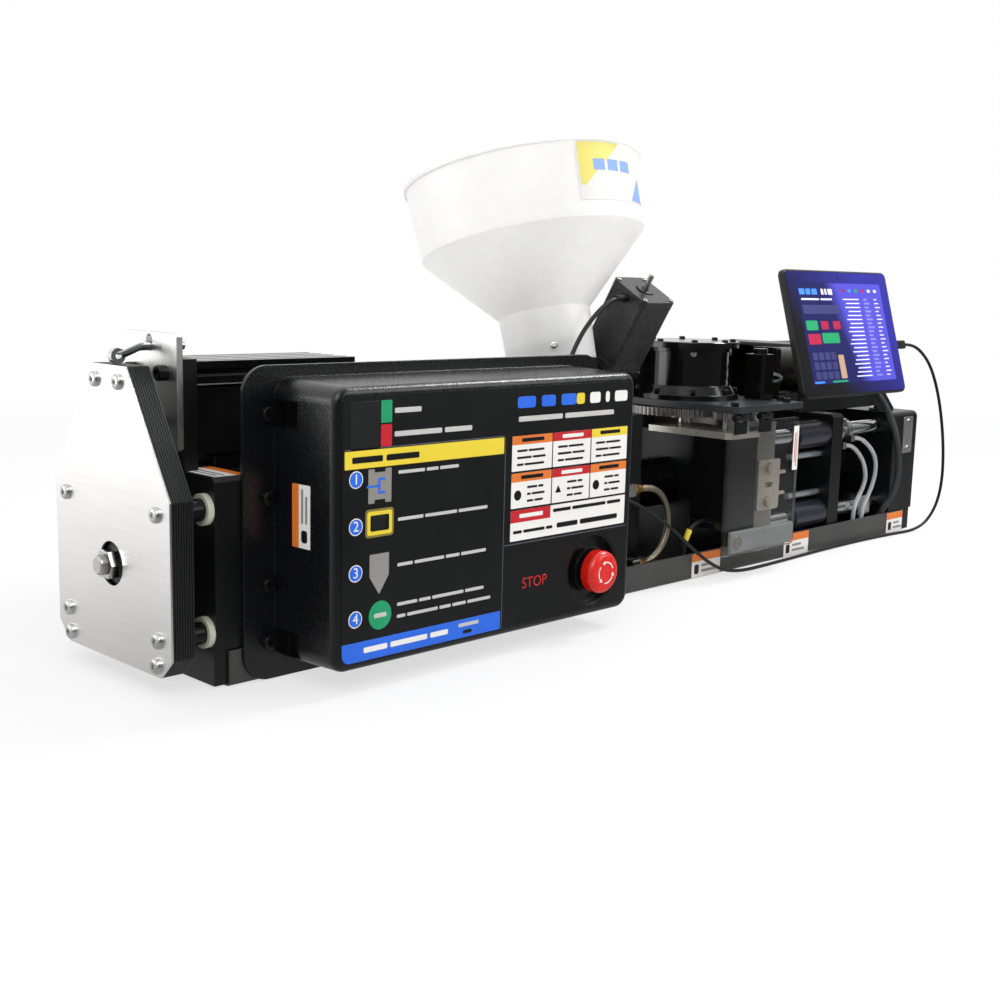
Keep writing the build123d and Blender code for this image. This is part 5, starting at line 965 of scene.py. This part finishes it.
# Terminal box under the injection motor, with its lid and four lid screws
terminal = {"top": (-500, 0, 196.6), "half": (38, 26), "deep": 13.4, "sink": 0.2, "corner": 4, "edge": 0.6, "lid": 4,
            "lip": 1, "lidCorner": 5, "lidEdge": 1.2, "inset": 6,
            "screw": {"radius": 2.6, "height": 1.4, "round": 0.4, "key": 2.2, "deep": 0.9}}
underMotor = faceFrame(terminal["top"], (1, 0, 0), (0, -1, 0))
halfX, halfY = terminal["half"]
lipX, lipY = halfX + terminal["lip"], halfY + terminal["lip"]
settle(joined([softBlock(underMotor, (-halfX, -halfY), (halfX, halfY), terminal["corner"], -terminal["sink"],
                         terminal["deep"] + terminal["sink"], terminal["edge"]),
               softBlock(underMotor, (-lipX, -lipY), (lipX, lipY), terminal["lidCorner"], terminal["deep"],
                         terminal["lid"], terminal["lidEdge"])]),
       "motor_terminal_box", "frame", motorEnamel, "motor_black")
lidSpots = [underMotor @ Vector((x * (halfX - terminal["inset"]) * mm, y * (halfY - terminal["inset"]) * mm,
                                 (terminal["deep"] + terminal["lid"]) * mm)) / mm for x in (-1, 1) for y in (-1, 1)]
setScrews(terminal["screw"], "terminal_box_screws", [onto(spot, (0, 0, -1)) for spot in lidSpots], bright)

# Stay of the tablet: a black sheet from its arm down to the clamp housing, notched for the loom
stay = {"outline": [(372, 190.5), (372, 262), (398, 278.3), (440, 278.3), (440, 240), (561, 240), (561, 208),
                    (581, 208), (581, 222), (590, 222), (633, 185), (633, 181.6), (587, 181.6), (581, 190.5)],
        "front": -63, "seat": 181.6, "gauge": 3, "corner": 1.2, "foot": ((594, -60), (630, -43)), "footCorner": 2,
        "footEdge": 0.6, "screws": [(603, -51), (621, -51)],
        "screw": {"radius": 4, "height": 3.4, "round": 0.7, "key": 3.2, "deep": 1.8}}
stayFace = faceFrame((0, stay["front"], 0), (1, 0, 0), (0, 0, 1))
housingTop = faceFrame((0, 0, stay["seat"]), (1, 0, 0), (0, 1, 0))
settle(joined([sheetOn(stayFace, stay["outline"], -stay["gauge"], stay["gauge"], stay["corner"]),
               softBlock(housingTop, *stay["foot"], stay["footCorner"], 0, stay["gauge"], stay["footEdge"])]),
       "tablet_stay", "frame", powderCoat, "tray_black")
setScrews(stay["screw"], "tablet_stay_screws",
          [onto((x, y, stay["seat"] + stay["gauge"]), (0, 0, 1)) for x, y in stay["screws"]], dark)

# Stop button: three pale arrows that show which way it twists
stopLow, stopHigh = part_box("stop_button")
stopFace = faceFrame(((stopLow.x + stopHigh.x) / 2 / mm, stopLow.y / mm, (stopLow.z + stopHigh.z) / 2 / mm), (1, 0, 0),
                     (0, 0, 1))
arrow = {"inner": 10.2, "outer": 11.5, "starts": (20, 140, 260), "sweep": 80, "head": 20, "wide": 1.7, "steps": 10,
         "thick": 0.2}
arrows = []
for start in arrow["starts"]:
    turnsRound = [math.radians(start + arrow["sweep"] * i / arrow["steps"]) for i in range(arrow["steps"] + 1)]
    tip = math.radians(start + arrow["sweep"] + arrow["head"])
    middle = (arrow["inner"] + arrow["outer"]) / 2
    rim = [(arrow["outer"], a) for a in turnsRound] + [(arrow["outer"] + arrow["wide"], turnsRound[-1]), (middle, tip),
                                                        (arrow["inner"] - arrow["wide"], turnsRound[-1])]
    rim += [(arrow["inner"], a) for a in reversed(turnsRound)]
    arrows.append(sheetOn(stopFace, [(r * math.cos(a), r * math.sin(a)) for r, a in rim], 0, arrow["thick"]))
settle(joined(arrows), "stop_arrows", "stop_head", vinyl["white"], "hopper_white")

# Fields of colour bent round the hopper's upper band
band = {"foot": (-66.3, -6.7, 262.7), "tilt": 15, "rise": (140.9, 226.6), "radius": (130.2, 135.5), "grid": (18, 14)}
tilt = math.radians(band["tilt"])
bandFrame = faceFrame(band["foot"], (1, 0, 0), (0, math.cos(tilt), -math.sin(tilt)))


# corners in degrees round the axis and millimetres along it; a taper narrows the field, below 0 towards its top
def wrapOn(low, high, base, thick, slant=0, taper=0):
    clearSelection()
    bpy.ops.mesh.primitive_grid_add(x_subdivisions=band["grid"][0], y_subdivisions=band["grid"][1], size=1)
    field = bpy.context.object
    bpy.ops.object.mode_set(mode="EDIT")
    bpy.ops.mesh.select_all(action="SELECT")
    bpy.ops.mesh.extrude_region_move(TRANSFORM_OT_translate={"value": (0, 0, 1)})
    endEdit()
    for corner in field.data.vertices:
        across, up, out = corner.co.x + 0.5, corner.co.y + 0.5, corner.co.z
        width = 1 - taper * (1 - up) if taper > 0 else 1 + taper * up
        turn = math.radians(low[0] + (high[0] - low[0]) * across * width + slant * up)
        rise = low[1] + (high[1] - low[1]) * up
        grow = (rise - band["rise"][0]) / (band["rise"][1] - band["rise"][0])
        radius = band["radius"][0] + (band["radius"][1] - band["radius"][0]) * grow + base + thick * out
        corner.co = bandFrame @ (Vector((radius * math.cos(turn), radius * math.sin(turn), rise)) * mm)
    return field


settle(wrapOn((-111, 158), (-62, 220), 0.05, 0.2), "hopper_field_white", "frame", vinyl["white"], "hopper_white")
settle(wrapOn((-110, 174), (-84, 220), 0.25, 0.1, 0, 0.9), "hopper_field_yellow", "frame", vinyl["lemon"],
       "hopper_white")
settle(joined([wrapOn((-76, 160), (-62, 186), 0.35, 0.1, 9, -0.9), wrapOn((-102, 190), (-95, 202), 0.35, 0.1),
               wrapOn((-93, 190), (-86, 202), 0.35, 0.1), wrapOn((-84, 190), (-76, 202), 0.35, 0.1)]),
       "hopper_field_blue", "frame", vinyl["sky"], "hopper_white")
print("fields laid")


# Tablet: glass front, lit screen and plain blocks on it
tablet = {"centre": (415, -100, 299.6), "tilt": 16, "size": (262, 172), "thick": 10, "screen": (214, 136),
          "glass": 0.5, "bezel": 3, "corner": 7, "pixel": 0.1, "eyeRise": 77}
lean = math.radians(tablet["tilt"])
screenFace = faceFrame(Vector(tablet["centre"]) + Vector((0, -math.cos(lean), math.sin(lean))) * tablet["thick"] / 2,
                       (1, 0, 0), (0, math.sin(lean), math.cos(lean)))
halfW, halfH = tablet["size"][0] / 2 - tablet["bezel"], tablet["size"][1] / 2 - tablet["bezel"]
glass = fieldOn(screenFace, (-halfW, -halfH), (halfW, halfH), tablet["corner"], 0, tablet["glass"])
coverGlass, tree, shader = newFinish("tablet_cover_glass", {"Roughness": 0.06, "Coat Weight": 0.6,
                                                            "Coat Roughness": 0.03})
# black print under the glass, with a painted blue sheen towards the top right
spot = addNode(tree, "ShaderNodeTexCoord", {})
split = addNode(tree, "ShaderNodeSeparateXYZ", {}, [(0, spot.outputs["Object"])])
climb = addNode(tree, "ShaderNodeMath", {"operation": "ADD"}, [(0, split.outputs["X"]), (1, split.outputs["Z"])])
sheen = addNode(tree, "ShaderNodeMapRange", {"From Min": 0.58, "From Max": 0.86}, [("Value", climb.outputs["Value"])])
tone = addNode(tree, "ShaderNodeValToRGB", {"ramp": [(0.1, linear("#0b0b10")), (0.9, linear("#2b2a9a"))]},
               [("Fac", sheen.outputs["Result"])])
tree.links.new(tone.outputs["Color"], shader.inputs["Base Color"])
settle(glass, "tablet_glass", "frame", coverGlass, "tablet_black")


def litFinish(name, code, glowCode, strength):  # a lit screen colour under the glass
    finish, tree, shader = newFinish(name, {"Roughness": 0.12, "Emission Color": linear(glowCode),
                                            "Emission Strength": strength})
    spot = addNode(tree, "ShaderNodeTexCoord", {})
    wash = addNode(tree, "ShaderNodeTexNoise", {"Scale": 1 / (90 * mm), "Detail": 1},
                   [("Vector", spot.outputs["Object"])])
    tone = addNode(tree, "ShaderNodeValToRGB", {"ramp": [(0.3, linear(code)), (0.8, linear(glowCode))]},
                   [("Fac", wash.outputs["Fac"])])
    tree.links.new(tone.outputs["Color"], shader.inputs["Base Color"])
    return finish


lit = {"lilac": litFinish("screen_lilac", "#6a69c4", "#7c7ad0", 0.5),
       "pale": litFinish("screen_pale", "#b9b9ea", "#c9c8f2", 0.6),
       "leaf": litFinish("screen_leaf", "#1f8a58", "#2b9a66", 0.4),
       "rose": litFinish("screen_rose", "#94203f", "#ac2a4a", 0.4),
       "tan": litFinish("screen_tan", "#a98d74", "#b89b80", 0.4),
       "slate": litFinish("screen_slate", "#33345f", "#414274", 0.35),
       "sky": litFinish("screen_sky", "#3a78e0", "#4a88ee", 0.5)}
# the lit screen's ground: navy on the left, a painted violet glare across the right that glows with the screen
ground, tree, shader = newFinish("screen_ground", {"Roughness": 0.12, "Emission Strength": 0.45})
spot = addNode(tree, "ShaderNodeTexCoord", {})
split = addNode(tree, "ShaderNodeSeparateXYZ", {}, [(0, spot.outputs["Object"])])
climb = addNode(tree, "ShaderNodeMath", {"operation": "MULTIPLY_ADD", 1: 0.42},
                [(0, split.outputs["Z"]), (2, split.outputs["X"])])
glare = addNode(tree, "ShaderNodeMapRange", {"From Min": 0.5, "From Max": 0.58}, [("Value", climb.outputs["Value"])])
tone = addNode(tree, "ShaderNodeValToRGB", {"ramp": [(0.35, linear("#1c1d52")), (0.75, linear("#4b48b6"))]},
               [("Fac", glare.outputs["Result"])])
tree.links.new(tone.outputs["Color"], shader.inputs["Base Color"])
tree.links.new(tone.outputs["Color"], shader.inputs["Emission Color"])
lit["ground"] = ground
shown = {}


def screenField(tint, low, high, corner=0.8, level=1):  # a lit block, one layer over the ground
    shown.setdefault(tint, []).append(fieldOn(screenFace, low, high, corner,
                                              tablet["glass"] + tablet["pixel"] * level, tablet["pixel"]))


screenX, screenZ = tablet["screen"][0] / 2, tablet["screen"][1] / 2
screenField("ground", (-screenX, -screenZ), (screenX, screenZ), 0, 0)
# tint, low and high corner, rounding
screenBlocks = [
    ("sky", (-103, 52), (-90, 60)), ("sky", (-87, 52), (-76, 60)), ("sky", (-73, 52), (-60, 60)),
    ("pale", (-50, 52), (-44, 60)), ("pale", (-41, 52), (-36, 60)), ("pale", (-33, 52), (-22, 60)),
    ("pale", (-101, 44.5), (-58, 47), 0.5), ("pale", (-54, 44.5), (-26, 47), 0.5), ("slate", (-101, 26), (-12, 38), 1),
    ("leaf", (-100, 4), (-72, 17), 2), ("rose", (-64, 5), (-46, 16), 1), ("rose", (-34, 5), (-16, 16), 1),
    ("rose", (-100, -15), (-70, -1), 2), ("leaf", (-66, -14), (-24, 0), 2), ("tan", (-36, -62), (-22, -30), 1.5),
    ("sky", (-104, -67), (-80, -64.4), 0.4), ("leaf", (-60, -67), (-22, -64.4), 0.4)]
for block in screenBlocks:
    screenField(*block)
keys = {"start": (-98, -62), "size": (12, 10), "pitch": (15, 13), "columns": 4, "rows": 3, "corner": 1.5}
for row in range(keys["rows"]):
    for column in range(keys["columns"]):
        x, z = keys["start"][0] + keys["pitch"][0] * column, keys["start"][1] + keys["pitch"][1] * row
        screenField("slate", (x, z), (x + keys["size"][0], z + keys["size"][1]), keys["corner"])
# a list of readings: a ragged name, a value and a unit in each row
readings = {"top": 46, "pitch": 5.6, "rows": 20, "line": 0.8, "value": 1.4}
for row in range(readings["rows"]):
    z = readings["top"] - readings["pitch"] * row
    screenField("pale", (2 + (row * 7) % 11, z - readings["line"]), (44, z + readings["line"]), 0.3)
    screenField("lilac", (56, z - readings["value"]), (66 + (row * 5) % 9, z + readings["value"]), 0.4)
    screenField("pale", (84, z - readings["line"]), (92 + (row * 3) % 8, z + readings["line"]), 0.3)
for column, tint in enumerate(("rose", "sky", "leaf", "rose", "pale", "pale")):
    screenField(tint, (2 + 17 * column, 56), (10 + 17 * column, 60), 0.5)
for tint, fields in shown.items():
    settle(joined(fields), "screen_" + tint, "frame", lit[tint], "tablet_black", crisp)
cameraEye = [(0, 0), (2.2, 0), (2.2, 0.15), (1.2, 0.25), (0, 0.25)]
eyeSpot = screenFace @ Vector((0, tablet["eyeRise"] * mm, tablet["glass"] * mm))
settle(copiesAt(turned(cameraEye), [onto(eyeSpot / mm, screenFace.col[2].to_3d())]), "tablet_camera_eye", "frame",
       glossBlack, "tablet_black")
print("tablet lit")
